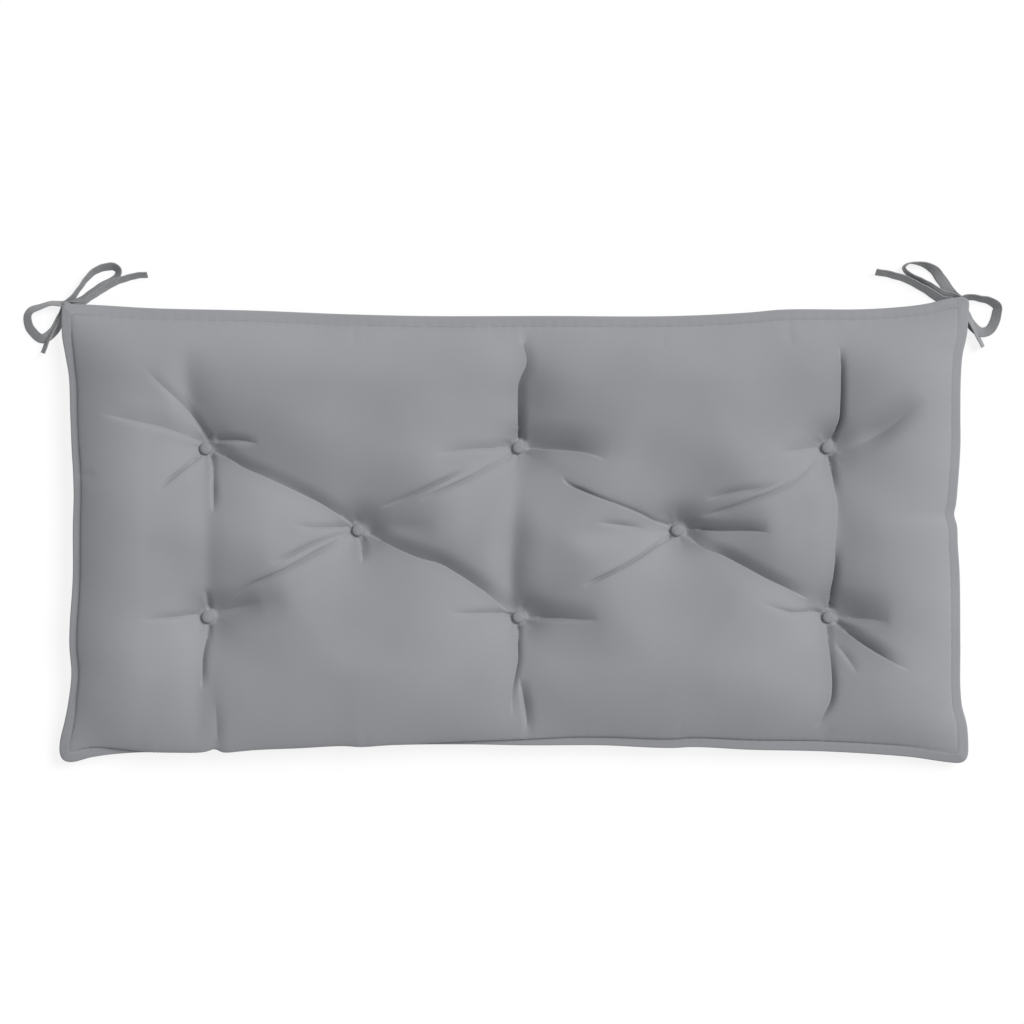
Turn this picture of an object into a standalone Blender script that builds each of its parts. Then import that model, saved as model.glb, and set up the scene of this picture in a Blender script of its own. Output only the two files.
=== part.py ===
"""Bench cushion lying on its back, in metres with +Z up.

One filled cover with a topstitched flange, eight covered buttons pulled into its top
face, and at each rear corner a tape that is sewn on and tied in a bow. The shapes are
worked out in millimetres in the pattern's own frame and centred at the end.
"""

import math
from collections import namedtuple

import bmesh
import bpy
import numpy as np
from mathutils import Vector
from mathutils.geometry import delaunay_2d_cdt

MM = 0.001
GAP = 0.3                     # between pieces that touch

# The cover: nominal size, flange and crown.
HALF_LENGTH = 500.0
HALF_DEPTH = 250.0
FLANGE_WIDTH = 12.0
FLANGE_THICKNESS = 3.0
FLANGE_HEIGHT = 29.0          # middle of the flange above the floor, half way along a side
FLANGE_DROOP = 2.6            # how much lower its edge is than its seam
CORNER_DROP = 12.0            # how much lower the flange is at the corners
CORNER_POWER = 3.0
RIM_INSET = 1.2               # roundness of the flange's folded edge
CROWN = 34.0                  # top of the crown above the flange
CROWN_REACHES = (78.0, 66.0, 68.0, 84.0)      # inside the front, rear, left and right seams
DOME_REACH = 230.0            # the crown goes on rising a little towards the middle
DOME_SHARE = 0.2
UNDERSIDE_REACH = 58.0        # how far inside the seam the underside lies flat
ROUNDNESS = 2.1               # of the underside: 2 is elliptical, more is fuller

# How far each side is drawn in from the nominal rectangle, against the place along it.
Side = namedtuple("Side", "along inset")
FRONT = Side(
    along=(-502, -485, -467, -417, -372, -345, -338, -330, -321, -302, -285, -236, -186, -170,
           -137, -54, 12, 95, 177, 194, 260, 342, 409, 442, 475, 502),
    inset=(-6, -4, 1, 6.5, 6.4, 6.8, 8, 10.5, 7, 8, 9.5, 11.6, 14, 13,
           15, 16, 15, 15, 12, 13, 10, 8, 4, 1, -4, -7))
RIGHT = Side(
    along=(-256, -235, -213, -190, -124, -47, -14, 8, 19, 30, 52, 97, 129, 173, 195, 217, 260),
    inset=(-2, -2, 0, 6, 8, 9, 11, 12, 15, 13, 11, 8, 8, 7, 5, 0, -4))
REAR = Side(
    along=(-500, -467, -401, -285, -186, -104, 28, 177, 260, 293, 392, 442, 460, 480, 503),
    inset=(-2, -1, 3, 6, 10, 12, 12, 12, 8, 5, 4, 0, -3, -8, -10))
LEFT = Side(
    along=(-255, -235, -224, -213, -190, -157, -124, -47, 8, 41, 72, 85, 129, 173, 195, 217, 252),
    inset=(-2, -2, 0, 3, 8, 12, 10, 14, 14, 15, 14, 13, 11, 9, 5, 1, 0))
CORNER_RADIUS = {"front_left": 15.0, "front_right": 15.0, "rear_right": 10.0, "rear_left": 8.0}
LEAST_RADIUS = 2.5            # of a corner as it is drawn in

# How far the crown swells out over the flange, against the place along a side.
Swell = namedtuple("Swell", "along amount")
FRONT_SWELL = Swell(along=(-490, -460, -400, -120, -30, 60, 200, 490),
                    amount=(0, 8, 22, 22, 15, 8, 5, 0))
LEFT_SWELL = Swell(along=(-240, -180, 180, 240), amount=(0, 7, 7, 0))
RIGHT_SWELL = Swell(along=(-240, -180, 180, 240), amount=(0, 5, 5, 0))
SWELL_SCALE = 1.55            # brings the swell's widest place, low on the crown, to its amount
SWELL_REACH = 66.0

# The tufts: where a button pulls the top face down, and by how much.
Tuft = namedtuple("Tuft", "x y depth")
TUFTS = (
    Tuft(-340, 92, 40),
    Tuft(5, 93, 41),
    Tuft(346, 93, 41),
    Tuft(-172, 2, 41),
    Tuft(180, 2, 41),
    Tuft(-338, -94, 40),
    Tuft(5, -94, 41),
    Tuft(347, -94, 41),
)
TUFT_REACH = 170.0            # width of the broad hollow round a tuft
TUFT_POWER = 2.4
GATHER_SHARE = 0.18           # part of the depth that lies in the steep gathers close by
GATHER_REACH = 34.0
SEAT_RADIUS = 7.2             # flat spot under the button
SEAT_DEPTH = 6.0              # of that spot below the depth of its tuft
SEAT_BLEND = 5.0
UNDERSIDE_DIMPLE = 10.0       # depth and radius of the same tufts on the underside
UNDERSIDE_DIMPLE_REACH = 46.0

# The troughs between the tufts and out to the seam, and the sharper creases. A route runs
# from its button or seam outwards, and its depths are spaced evenly along it. Left and right
# are the widths of the slopes on each side of it.
Crease = namedtuple("Crease", "route depths left right")
TROUGHS = (
    # out to the rear seam and to the front seam
    Crease(((-340, 92), (-350, 120), (-357, 150), (-357, 205)), (28, 30, 18, 2), 45, 85),
    Crease(((5, 93), (8, 130), (12, 170), (12, 238)), (29, 33, 19, 4), 90, 95),
    Crease(((346, 93), (357, 140), (358, 190), (356, 236)), (28, 20, 11, 2), 95, 80),
    Crease(((-338, -94), (-344, -160), (-345, -236)), (26, 18, 8), 110, 70),
    Crease(((5, -94), (4, -160), (12, -234)), (27, 18, 9), 100, 115),
    Crease(((347, -94), (346, -160), (338, -234)), (27, 16, 8), 80, 105),
    # along the three columns of buttons
    Crease(((-340, 92), (-336, 0), (-338, -94)), (25, 12, 29), 65, 70),
    Crease(((5, 93), (3, 50), (0, 10), (-4, -40), (-2, -75), (5, -94)),
           (26, 15, 15, 22, 31, 32), 60, 50),
    Crease(((346, 93), (356, 0), (347, -94)), (28, 15, 31), 80, 70),
    # along the diagonals
    Crease(((-340, 92), (-245, 52), (-172, 2)), (28, 23, 27), 105, 85),
    Crease(((-172, 2), (-75, -36), (5, -94)), (29, 14, 26), 60, 90),
    Crease(((180, 2), (262, -40), (347, -94)), (28, 15, 26), 70, 70),
    Crease(((180, 2), (90, 40), (5, 93)), (27, 5, 24), 65, 45),
    Crease(((-172, 2), (-255, -38), (-338, -94)), (25, 6, 28), 75, 60),
    Crease(((-172, 2), (-84, 54), (5, 93)), (27, 8, 24), 60, 65),
    Crease(((180, 2), (92, -44), (5, -94)), (25, 6, 28), 75, 60),
    Crease(((180, 2), (262, 48), (346, 93)), (27, 8, 24), 60, 60),
    # short ones beside the buttons
    Crease(((5, 93), (50, 92), (100, 86), (140, 80)), (34, 25, 10, 0), 90, 70),
    Crease(((347, -94), (380, -95), (425, -98)), (30, 20, 0), 100, 110),
    Crease(((346, 93), (385, 106), (450, 142)), (30, 23, 0), 75, 85),
    Crease(((5, -94), (45, -96), (110, -98)), (30, 18, 0), 80, 110),
    Crease(((-338, -94), (-295, -84), (-240, -72)), (30, 22, 0), 65, 80),
    Crease(((-172, 2), (-130, 4), (-75, 4)), (30, 22, 0), 65, 60),
    Crease(((180, 2), (225, 3), (290, 2)), (30, 22, 0), 65, 60),
    Crease(((180, 2), (120, 0), (40, -6)), (30, 15, 0), 55, 60),
)
CREASES = (
    # round the rear left button
    Crease(((-338, 104), (-346, 117), (-368, 144), (-390, 165), (-405, 181)), (7, 5, 4, 2, 0), 7, 9),
    Crease(((-348, 100), (-368, 109), (-390, 116), (-412, 121), (-450, 130)), (4, 5, 5, 4, 0), 4, 20),
    Crease(((-347, 84), (-359, 73), (-372, 62), (-390, 46)), (4, 4, 4, 0), 4, 4),
    Crease(((-335, 84), (-331, 68), (-330, 51), (-329, 20)), (6, 4, 5, 0), 8, 3.5),
    Crease(((-326, 101), (-302, 101), (-280, 97)), (5, 6, 0), 9, 5),
    Crease(((-329, 88), (-313, 80), (-296, 70), (-277, 62), (-236, 43), (-214, 32), (-199, 23),
            (-186, 14), (-178, 8)), (4, 8, 7, 7, 5, 3), 14, 2.5),
    # round the middle left button
    Crease(((-182, 5), (-203, 5), (-222, 5), (-243, 8)), (4, 4, 3, 0), 4, 8),
    Crease(((-171, -7), (-168, -18), (-165, -35)), (5, 5, 0), 10, 3.5),
    Crease(((-183, -2), (-203, -7), (-225, -15), (-247, -26), (-266, -34)), (1, 3, 4, 4, 0), 4, 6),
    Crease(((-192, -9), (-211, -19), (-230, -30), (-250, -41), (-271, -50), (-291, -59),
            (-313, -77)), (2, 4, 4, 4, 4, 3, 2), 6, 4),
    Crease(((-142, 29), (-114, 40), (-92, 50), (-73, 59), (-52, 70)), (1, 3, 4, 4, 0), 5, 3.5),
    Crease(((-103, 35), (-76, 47), (-48, 60), (-26, 72), (-10, 81), (-1, 87)),
           (0, 3, 4, 3, 3, 2), 3.5, 6),
    Crease(((-158, -3), (-142, -12), (-123, -21), (-103, -29), (-81, -35), (-65, -44), (-48, -55),
            (-32, -66), (-21, -75), (-7, -87)), (5, 8, 9, 8, 7, 5, 3), 17, 2.5),
    # round the rear middle button
    Crease(((5, 101), (4, 123), (4, 151), (5, 165), (9, 174), (13, 183), (13, 194), (10, 203),
            (10, 211), (11, 225)), (12, 12, 11, 10, 5, 6, 3), 2.5, 12),
    Crease(((14, 92), (34, 91), (51, 90), (73, 88), (86, 85), (101, 80)), (3, 9, 9, 5, 0), 34, 3),
    Crease(((-3, 94), (-26, 92), (-48, 91), (-70, 88), (-86, 85)), (5, 5, 4, 3, 0), 4.5, 11),
    # round the middle right button
    Crease(((173, 7), (155, 12), (139, 20), (117, 29), (95, 37), (73, 46), (59, 53), (52, 61)),
           (3, 3, 3, 3, 4, 5, 0), 3, 5),
    Crease(((144, 4), (122, 7), (89, 11)), (0, 3, 0), 5, 7),
    Crease(((172, -6), (155, -15), (139, -26), (117, -39), (95, -50), (76, -59)),
           (4, 4, 4, 4, 5, 0), 4, 4),
    Crease(((188, 3), (222, 1), (243, 1), (262, 1), (278, 0)), (6, 8, 8, 7, 6, 0), 14, 3),
    Crease(((191, -4), (208, -18), (227, -25), (254, -39), (276, -51), (304, -64), (324, -74)),
           (3, 5, 8, 8, 8, 5, 0), 14, 2.5),
    Crease(((337, 85), (318, 66), (302, 53), (282, 43), (260, 35), (232, 25), (205, 17)),
           (1, 2, 3, 4, 4, 4, 0), 6, 5),
    Crease(((289, 56), (269, 48), (249, 45), (229, 41), (209, 35)), (0, 4, 4, 4, 0), 4, 9),
    # round the rear right button
    Crease(((349, 99), (352, 109), (357, 123), (358, 143), (358, 167), (358, 189), (357, 204)),
           (9, 10, 9, 9, 8, 6, 0), 2.5, 8),
    Crease(((355, 90), (372, 94), (390, 101), (409, 112), (428, 128), (449, 145)),
           (2, 6, 10, 9, 6, 0), 34, 16),
    Crease(((347, 83), (349, 66), (351, 52), (354, 35), (354, 13), (352, -9), (352, -25),
            (351, -40), (349, -64), (348, -83)), (9, 7, 2, 1, 1, 3, 8, 9, 9), 9, 2.5),
    Crease(((337, 93), (320, 91), (304, 89), (287, 86)), (4, 4, 3, 0), 4.5, 13),
    # round the front right button
    Crease(((357, -94), (376, -95), (392, -96), (412, -99)), (3, 9, 6, 0), 34, 9),
    Crease(((355, -100), (368, -112), (381, -122), (395, -131), (412, -141), (434, -152)),
           (7, 10, 12, 10, 4, 0), 15, 3),
    Crease(((339, -89), (324, -88), (304, -88), (289, -84), (271, -77)), (4, 4, 4, 2, 0), 6, 6),
    Crease(((345, -106), (346, -124), (348, -146), (349, -168), (347, -185), (340, -199),
            (330, -216)), (5, 4, 5, 7, 8, 7, 0), 8, 3),
    Crease(((351, -119), (365, -137), (377, -156)), (0, 3, 0), 9, 5),
    # round the front middle button
    Crease(((-4, -91), (-26, -89), (-48, -89), (-71, -89)), (5, 4, 3, 0), 4, 7),
    Crease(((14, -94), (34, -95), (53, -95), (73, -96), (91, -96)), (3, 9, 8, 5, 0), 24, 3.5),
    Crease(((4, -102), (4, -124), (4, -141), (1, -157), (-2, -174), (-1, -197)),
           (6, 6, 5, 5, 3, 0), 7, 2.5),
    Crease(((6, -159), (9, -172), (12, -187), (14, -200), (14, -213), (14, -225)),
           (0, 5, 9, 9, 7, 4), 11, 4),
    # round the front left button
    Crease(((-337, -87), (-338, -75), (-339, -62)), (7, 5, 0), 4, 9),
    Crease(((-330, -88), (-307, -84), (-277, -75)), (3, 6, 0), 24, 26),
    Crease(((-348, -91), (-368, -93), (-390, -95), (-409, -97)), (4, 5, 3, 0), 4.5, 9),
    Crease(((-337, -102), (-339, -119), (-342, -139), (-342, -154), (-342, -172)),
           (6, 5, 6, 5, 0), 8, 3),
    # puckers where the crown meets the seam
    Crease(((-328, -234), (-326, -205), (-327, -180)), (9, 5, 0), 6, 12),
    Crease(((348, -219), (339, -228), (328, -231)), (5, 12, 4), 3.5, 8),
    Crease(((-175, 234), (-174, 220), (-176, 200)), (7, 3, 0), 6, 12),
    Crease(((164, 232), (165, 220), (163, 200)), (7, 3, 0), 6, 12),
    Crease(((304, 236), (303, 222), (305, 203)), (5, 3, 0), 6, 12),
    Crease(((-164, -235), (-163, -220), (-165, -203)), (7, 4, 0), 6, 10),
    Crease(((183, -236), (182, -221), (184, -203)), (9, 5, 0), 8, 8),
    Crease(((-483, 62), (-470, 63), (-454, 66)), (14, 12, 0), 4, 12),
)
TROUGH_ROUND = 7.0            # the filling keeps the bottoms of the troughs round
HOLLOW_BLEND = 3.0            # where hollows meet they add up less than fully,
HOLLOW_LIMIT = 50.0           # and never beyond the thickness of the filling

# The mesh: its spacings, and how far inside the seam its rows lie.
RING_SPACING = 17.0
TOP_ROWS = (2.0, 6.0, 12.0, 21.0, 33.0)
UNDERSIDE_ROWS = (4.0, 13.0, 27.0, 46.0)
TOP_SPACING = 16.5
UNDERSIDE_SPACING = 34.0
CREASE_SPACING = 11.0
CREASE_CLEARANCE = 3.4
CREASE_FOOT = 3.5             # least width of a crease's slope in the mesh
WIDE_SLOPE = 12.0             # a wider slope gets a row of points part of the way up
WIDE_SLOPE_SHARE = 0.42
LINE_SPACING = 7.0            # of the lines that depths are measured from
CORNER_POINTS = 4
SMALL_CORNER = 5.0            # a corner of less than this radius gets half the points
Ring = namedtuple("Ring", "radius points")
TUFT_RINGS = (Ring(7.6, 10), Ring(11.0, 12), Ring(15.0, 13), Ring(20.0, 14), Ring(27.0, 16))
DIMPLE_RINGS = (Ring(12.0, 7), Ring(26.0, 9), Ring(40.0, 11))

# The covered buttons.
BUTTON_RADIUS = 6.8
BUTTON_HEIGHT = 4.4
BUTTON_SEGMENTS = 14
ButtonStep = namedtuple("ButtonStep", "radius height")    # shares of the two sizes above
BUTTON_PROFILE = (ButtonStep(0.74, 0.0), ButtonStep(0.96, 0.22), ButtonStep(1.0, 0.42),
                  ButtonStep(0.86, 0.74), ButtonStep(0.5, 0.95))

# The tie tapes. A run is one stretch of a bow. Its leans are degrees away from standing on
# edge, at its start, middle and end, and its lifts raise it off the floor at start and end.
TAPE_WIDTH = 12.0
TAPE_THICKNESS = 2.8          # two layers of cloth, thickened by the stitched fold
TAPE_CHAMFER = 0.9
TAPE_STEP = 5.5
ROOT_CLEARANCE = 0.4          # between the sewn end of a tape and the flange above it
ROOT_DROP = 2.5
KNOT_SIZE = (13.0, 11.0, 11.4)
KNOT_SEGMENTS = 12
Run = namedtuple("Run", "route leans lifts")
Bow = namedtuple("Bow", "name knot root runs")
BOWS = (
    Bow("tie_left", (-496, 251), (-489, 242), (
        Run(((-497, 252), (-513, 253), (-526, 249), (-536, 245), (-539, 238), (-537, 227),
             (-530, 218), (-523, 214), (-515, 218), (-509, 224), (-500, 240), (-497, 250)),
            (42, 62, 38), (0, 0)),
        Run(((-497, 251), (-503, 240), (-510, 227), (-516, 214), (-522, 198)),
            (28, 32, 28), (0, 0.5)),
        Run(((-496, 252), (-489, 259), (-481, 270), (-473, 281), (-464, 289), (-454, 293),
             (-444, 294), (-438, 290), (-440, 283), (-455, 274), (-466, 267), (-480, 257),
             (-494, 251)), (38, 42, 34), (0, 0)),
        Run(((-493, 250), (-480, 253), (-466, 262), (-454, 270), (-441, 277), (-429, 281),
             (-418, 284), (-406, 285)), (26, 30, 26), (0, 0)),
    )),
    Bow("tie_right", (495, 256), (489, 247), (
        Run(((495, 258), (503, 260), (518, 258), (529, 255), (536, 249), (535, 241),
             (532, 231), (526, 223), (520, 221), (513, 224), (505, 233), (497, 254)),
            (42, 62, 38), (0, 0)),
        Run(((496, 255), (500, 243), (508, 229), (513, 218), (520, 205)),
            (-24, -28, -24), (0, 0.5)),
        Run(((494, 257), (487, 262), (479, 273), (473, 281), (465, 291), (454, 296),
             (443, 298), (436, 297), (432, 293), (437, 286), (448, 279), (460, 272),
             (473, 264), (493, 257)), (-30, 6, 36), (0, 0)),
        Run(((493, 255), (475, 257), (465, 263), (450, 272), (434, 280), (418, 285),
             (401, 288)), (-30, -34, -30), (0, 0)),
    )),
)

Material = namedtuple("Material", "name colour roughness")
COVER_CLOTH = Material("cover_woven_polyester", (0.30, 0.31, 0.33, 1.0), 0.9)
BUTTON_CLOTH = Material("button_woven_polyester", (0.29, 0.30, 0.32, 1.0), 0.85)
TAPE_CLOTH = Material("tape_woven_polyester", (0.27, 0.28, 0.30, 1.0), 0.9)


# ---------------------------------------------------------------- curves

def smooth_values(at, along, values):
    """Values of a smooth curve through (along, values), with end slopes of its end pieces."""
    along = np.asarray(along, float)
    values = np.asarray(values, float)
    steps = np.diff(along)
    grades = np.diff(values) / steps
    slopes = np.empty_like(values)
    slopes[1:-1] = 0.5 * (grades[1:] + grades[:-1])
    slopes[0] = grades[0]
    slopes[-1] = grades[-1]
    at = np.clip(np.asarray(at, float), along[0], along[-1])
    i = np.clip(np.searchsorted(along, at, side="right") - 1, 0, len(steps) - 1)
    t = (at - along[i]) / steps[i]
    return ((1 + 2 * t) * (1 - t) ** 2 * values[i] + t * (1 - t) ** 2 * steps[i] * slopes[i]
            + t ** 2 * (3 - 2 * t) * values[i + 1] + t ** 2 * (t - 1) * steps[i] * slopes[i + 1])


def smooth_route(points, spacing):
    """An evenly spaced smooth curve through the points, with its shares along."""
    points = np.asarray(points, float)
    chords = np.linalg.norm(np.diff(points, axis=0), axis=1)
    knots = np.concatenate(([0.0], np.cumsum(chords)))
    count = max(2, round(knots[-1] / spacing))
    at = np.linspace(0.0, knots[-1], count + 1)
    curve = np.stack([smooth_values(at, knots, column) for column in points.T], axis=1)
    return curve, at / knots[-1]


# ---------------------------------------------------------------- the cover's plan

def front_edge(x, inset=0.0):
    return -HALF_DEPTH + smooth_values(x, *FRONT) + inset


def rear_edge(x, inset=0.0):
    return HALF_DEPTH - smooth_values(x, *REAR) - inset


def left_edge(y, inset=0.0):
    return -HALF_LENGTH + smooth_values(y, *LEFT) + inset


def right_edge(y, inset=0.0):
    return HALF_LENGTH - smooth_values(y, *RIGHT) - inset


def corner_point(side_x, side_y, x, y, inset):
    """Where two sides would meet if the corner weren't rounded."""
    for _ in range(4):
        x = float(side_x(y, inset))
        y = float(side_y(x, inset))
    return np.array((x, y))


def outline(inset):
    """The outline as a counter-clockwise ring of points, drawn in by inset."""
    sharp = {
        "front_left": corner_point(left_edge, front_edge, -HALF_LENGTH, -HALF_DEPTH, inset),
        "front_right": corner_point(right_edge, front_edge, HALF_LENGTH, -HALF_DEPTH, inset),
        "rear_right": corner_point(right_edge, rear_edge, HALF_LENGTH, HALF_DEPTH, inset),
        "rear_left": corner_point(left_edge, rear_edge, -HALF_LENGTH, HALF_DEPTH, inset),
    }
    radius = {name: max(full - inset, LEAST_RADIUS) for name, full in CORNER_RADIUS.items()}
    names = list(sharp)
    sides = []
    for k, name in enumerate(names):
        far = names[(k + 1) % 4]
        along = 0 if k % 2 == 0 else 1
        edge = (front_edge, right_edge, rear_edge, left_edge)[k]
        sign = 1.0 if sharp[far][along] > sharp[name][along] else -1.0
        first = sharp[name][along] + sign * radius[name]
        last = sharp[far][along] - sign * radius[far]
        run = np.linspace(first, last, round(abs(last - first) / RING_SPACING) + 1)
        across = edge(run, inset)
        sides.append(np.stack((run, across) if along == 0 else (across, run), axis=1))
    ring = []
    for k, side in enumerate(sides):
        ring.extend(side)
        start = side[-1]
        name = names[(k + 1) % 4]
        corner = sharp[name]
        end = sides[(k + 1) % 4][0]
        count = CORNER_POINTS if radius[name] > SMALL_CORNER else CORNER_POINTS // 2
        for t in np.linspace(0.0, 1.0, count + 2)[1:-1]:
            ring.append((1 - t) ** 2 * start + 2 * t * (1 - t) * corner + t ** 2 * end)
    return np.array(ring)


def seam_distances(x, y):
    """Distances inside the seam, from its front, rear, left and right sides."""
    return (y - front_edge(x, FLANGE_WIDTH), rear_edge(x, FLANGE_WIDTH) - y,
            x - left_edge(y, FLANGE_WIDTH), right_edge(y, FLANGE_WIDTH) - x)


# ---------------------------------------------------------------- the cover's heights

def slope_in(distance, reach):
    """From 0 at the seam to 1 at the reach, where it is level."""
    return 1.0 - (1.0 - np.clip(distance / reach, 0.0, 1.0)) ** 2


def crown_rise(x, y):
    """The share of the crown's height: a slope along the seam and a low dome."""
    product = np.ones_like(x)
    for distance, reach in zip(seam_distances(x, y), CROWN_REACHES):
        product = product * ((1.0 - DOME_SHARE) * slope_in(distance, reach)
                             + DOME_SHARE * slope_in(distance, DOME_REACH))
    return product


def underside_rise(x, y):
    """0 where the underside lies flat, and 1 at the seam, where it is steepest."""
    product = np.ones_like(x)
    for distance in seam_distances(x, y):
        share = np.clip(distance / UNDERSIDE_REACH, 0.0, 1.0)
        product = product * (1.0 - (1.0 - share) ** ROUNDNESS) ** (1.0 / ROUNDNESS)
    return 1.0 - product


def flange_height(x, y):
    """The middle of the flange's thickness, which drops towards the corners and its edge."""
    share = np.clip(np.abs(x * y) / (HALF_LENGTH * HALF_DEPTH), 0.0, 1.0)
    inside = np.min(seam_distances(x, y), axis=0)
    droop = FLANGE_DROOP * np.clip(-inside / FLANGE_WIDTH, 0.0, 1.0)
    return FLANGE_HEIGHT - CORNER_DROP * share ** CORNER_POWER - droop


def crease_profile(distance, width):
    """A sharp bottom under an even slope that eases out at its top."""
    return (1.0 - np.clip(distance / width, 0.0, 1.0)) ** 1.5


def trough_profile(distance, width):
    """A round bottom under a slope that eases out slowly."""
    rounded = np.hypot(distance, TROUGH_ROUND) - TROUGH_ROUND
    return (1.0 - np.clip(rounded / width, 0.0, 1.0)) ** 2.5


def crease_sink(crease, profile, x, y):
    """How far one crease or trough lowers the top face."""
    line, shares = smooth_route(crease.route, LINE_SPACING)
    nearest = np.full(x.shape, np.inf)
    lean = np.zeros(x.shape)                    # 1 straight out to the left, -1 to the right
    along = np.zeros(x.shape)
    for a, b, share_a, share_b in zip(line[:-1], line[1:], shares[:-1], shares[1:]):
        step = b - a
        t = np.clip(((x - a[0]) * step[0] + (y - a[1]) * step[1]) / (step @ step), 0.0, 1.0)
        off_x = x - a[0] - t * step[0]
        off_y = y - a[1] - t * step[1]
        distance = np.hypot(off_x, off_y) + 1e-9
        closer = distance < nearest
        turn = (step[0] * off_y - step[1] * off_x) / (distance * math.hypot(*step))
        nearest = np.where(closer, distance, nearest)
        lean = np.where(closer, turn, lean)
        along = np.where(closer, share_a + t * (share_b - share_a), along)
    width = (crease.left + crease.right + lean * (crease.left - crease.right)) / 2
    stations = np.linspace(0.0, 1.0, len(crease.depths))
    depth = np.maximum(smooth_values(along, stations, crease.depths), 0.0)
    return depth * profile(nearest, width)


def top_sink(x, y):
    """How far the tufts and creases lower the top face."""
    hollows = np.zeros_like(x)
    for tuft in TUFTS:
        away = np.maximum(np.hypot(x - tuft.x, y - tuft.y) - SEAT_RADIUS, 0.0)
        broad = np.clip(1.0 - away / TUFT_REACH, 0.0, 1.0) ** TUFT_POWER
        steep = np.clip(1.0 - away / GATHER_REACH, 0.0, 1.0) ** 2
        depth = tuft.depth * ((1.0 - GATHER_SHARE) * broad + GATHER_SHARE * steep)
        hollows = hollows + depth ** HOLLOW_BLEND
    for trough in TROUGHS:
        hollows = hollows + crease_sink(trough, trough_profile, x, y) ** HOLLOW_BLEND
    folds = np.zeros_like(x)
    for crease in CREASES:
        folds = folds + crease_sink(crease, crease_profile, x, y) ** 3
    sink = hollows ** (1.0 / HOLLOW_BLEND)
    sink = sink / (1.0 + (sink / HOLLOW_LIMIT) ** 8) ** 0.125 + np.cbrt(folds)
    for tuft in TUFTS:
        t = np.clip((np.hypot(x - tuft.x, y - tuft.y) - SEAT_RADIUS) / SEAT_BLEND, 0.0, 1.0)
        away = t * t * (3.0 - 2.0 * t)
        sink = away * sink + (1.0 - away) * (tuft.depth + SEAT_DEPTH)
    return sink


def top_height(x, y):
    base = flange_height(x, y) + FLANGE_THICKNESS / 2
    return base + crown_rise(x, y) * (CROWN - top_sink(x, y))


def underside_height(x, y):
    base = flange_height(x, y) - FLANGE_THICKNESS / 2
    dimples = np.zeros_like(x)
    for tuft in TUFTS:
        radius = np.hypot(x - tuft.x, y - tuft.y)
        dimples = dimples + np.clip(1.0 - radius / UNDERSIDE_DIMPLE_REACH, 0.0, 1.0) ** 2
    return base * underside_rise(x, y) + UNDERSIDE_DIMPLE * dimples


def swell_shift(x, y):
    """How far the crown leans out over the flange at the front and the two ends."""
    front, _, left, right = seam_distances(x, y)

    def bulge(distance, rows, at):
        share = np.clip(distance / SWELL_REACH, 0.0, 1.0)
        return SWELL_SCALE * np.interp(at, *rows) * share ** 0.25 * (1.0 - share) ** 1.5

    ends = slope_in(left, SWELL_REACH) * slope_in(right, SWELL_REACH)
    shift_x = bulge(right, RIGHT_SWELL, y) - bulge(left, LEFT_SWELL, y)
    shift_y = -bulge(front, FRONT_SWELL, x) * ends
    return shift_x * slope_in(front, SWELL_REACH), shift_y


# ---------------------------------------------------------------- the cover's mesh

Group = namedtuple("Group", "points clearance is_line")


def ring_points(centre, ring):
    angles = np.arange(ring.points) * (2 * math.pi / ring.points) + ring.radius
    return np.stack((centre.x + ring.radius * np.cos(angles),
                     centre.y + ring.radius * np.sin(angles)), axis=1)


def crease_points(crease):
    """Points on the crease's line, on both edges of it and inside its wide side."""
    line, _ = smooth_route(crease.route, CREASE_SPACING)
    steps = np.gradient(line, axis=0)
    normals = np.stack((-steps[:, 1], steps[:, 0]), axis=1)
    normals /= np.linalg.norm(normals, axis=1)[:, None]
    left = max(crease.left, CREASE_FOOT)
    right = max(crease.right, CREASE_FOOT)
    rows = [line, line + normals * left, line - normals * right]
    if left > WIDE_SLOPE:
        rows.append(line + normals * left * WIDE_SLOPE_SHARE)
    if right > WIDE_SLOPE:
        rows.append(line - normals * right * WIDE_SLOPE_SHARE)
    return rows


def grid_points(spacing):
    """A triangular grid over the whole plan."""
    rows = []
    pitch = spacing * math.sqrt(3.0) / 2
    for k, y in enumerate(np.arange(-HALF_DEPTH, HALF_DEPTH, pitch)):
        x = np.arange(-HALF_LENGTH, HALF_LENGTH, spacing) + (k % 2) * spacing / 2
        rows.append(np.stack((x, np.full_like(x, y)), axis=1))
    return np.concatenate(rows)


def inside_only(points, margin):
    distances = np.min(seam_distances(points[:, 0], points[:, 1]), axis=0)
    return points[distances > margin]


def plan_points(rings, groups, margin):
    """Rings first, then each group's points that keep clear of those before, with the edges
    of the rings and of the groups that are lines."""
    kept = []
    edges = []
    for ring in rings:
        first = len(kept)
        kept.extend(ring)
        edges.extend((first + k, first + (k + 1) % len(ring)) for k in range(len(ring)))
    kept = np.array(kept)
    for group in groups:
        before = None
        for point in inside_only(group.points, margin):
            if np.min(np.hypot(kept[:, 0] - point[0], kept[:, 1] - point[1])) < group.clearance:
                before = None
                continue
            kept = np.concatenate((kept, point[None]))
            if group.is_line and before is not None:
                edges.append((before, len(kept) - 1))
            before = len(kept) - 1
    return kept, edges


def triangulate(points, edges, border):
    """Triangles that keep the edges. The first points, as many as border, are the outline."""
    vectors = [Vector(point) for point in points]
    found = delaunay_2d_cdt(vectors, edges, [], 0, 1e-4, True)
    sources = [ids[0] for ids in found[3]]
    triangles = []
    for face in found[2]:
        a, b, c = (sources[k] for k in face)
        low = min(a, b, c)
        while a != low:
            a, b, c = b, c, a
        if max(b, c) >= border or b < c:        # a pocket outside the outline runs backwards
            triangles.append((a, b, c))
    return triangles


def tuft_points(rings):
    around = [[(tuft.x, tuft.y)] for tuft in TUFTS]
    for tuft, points in zip(TUFTS, around):
        for ring in rings:
            points.extend(ring_points(tuft, ring))
    return np.concatenate(around)


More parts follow.
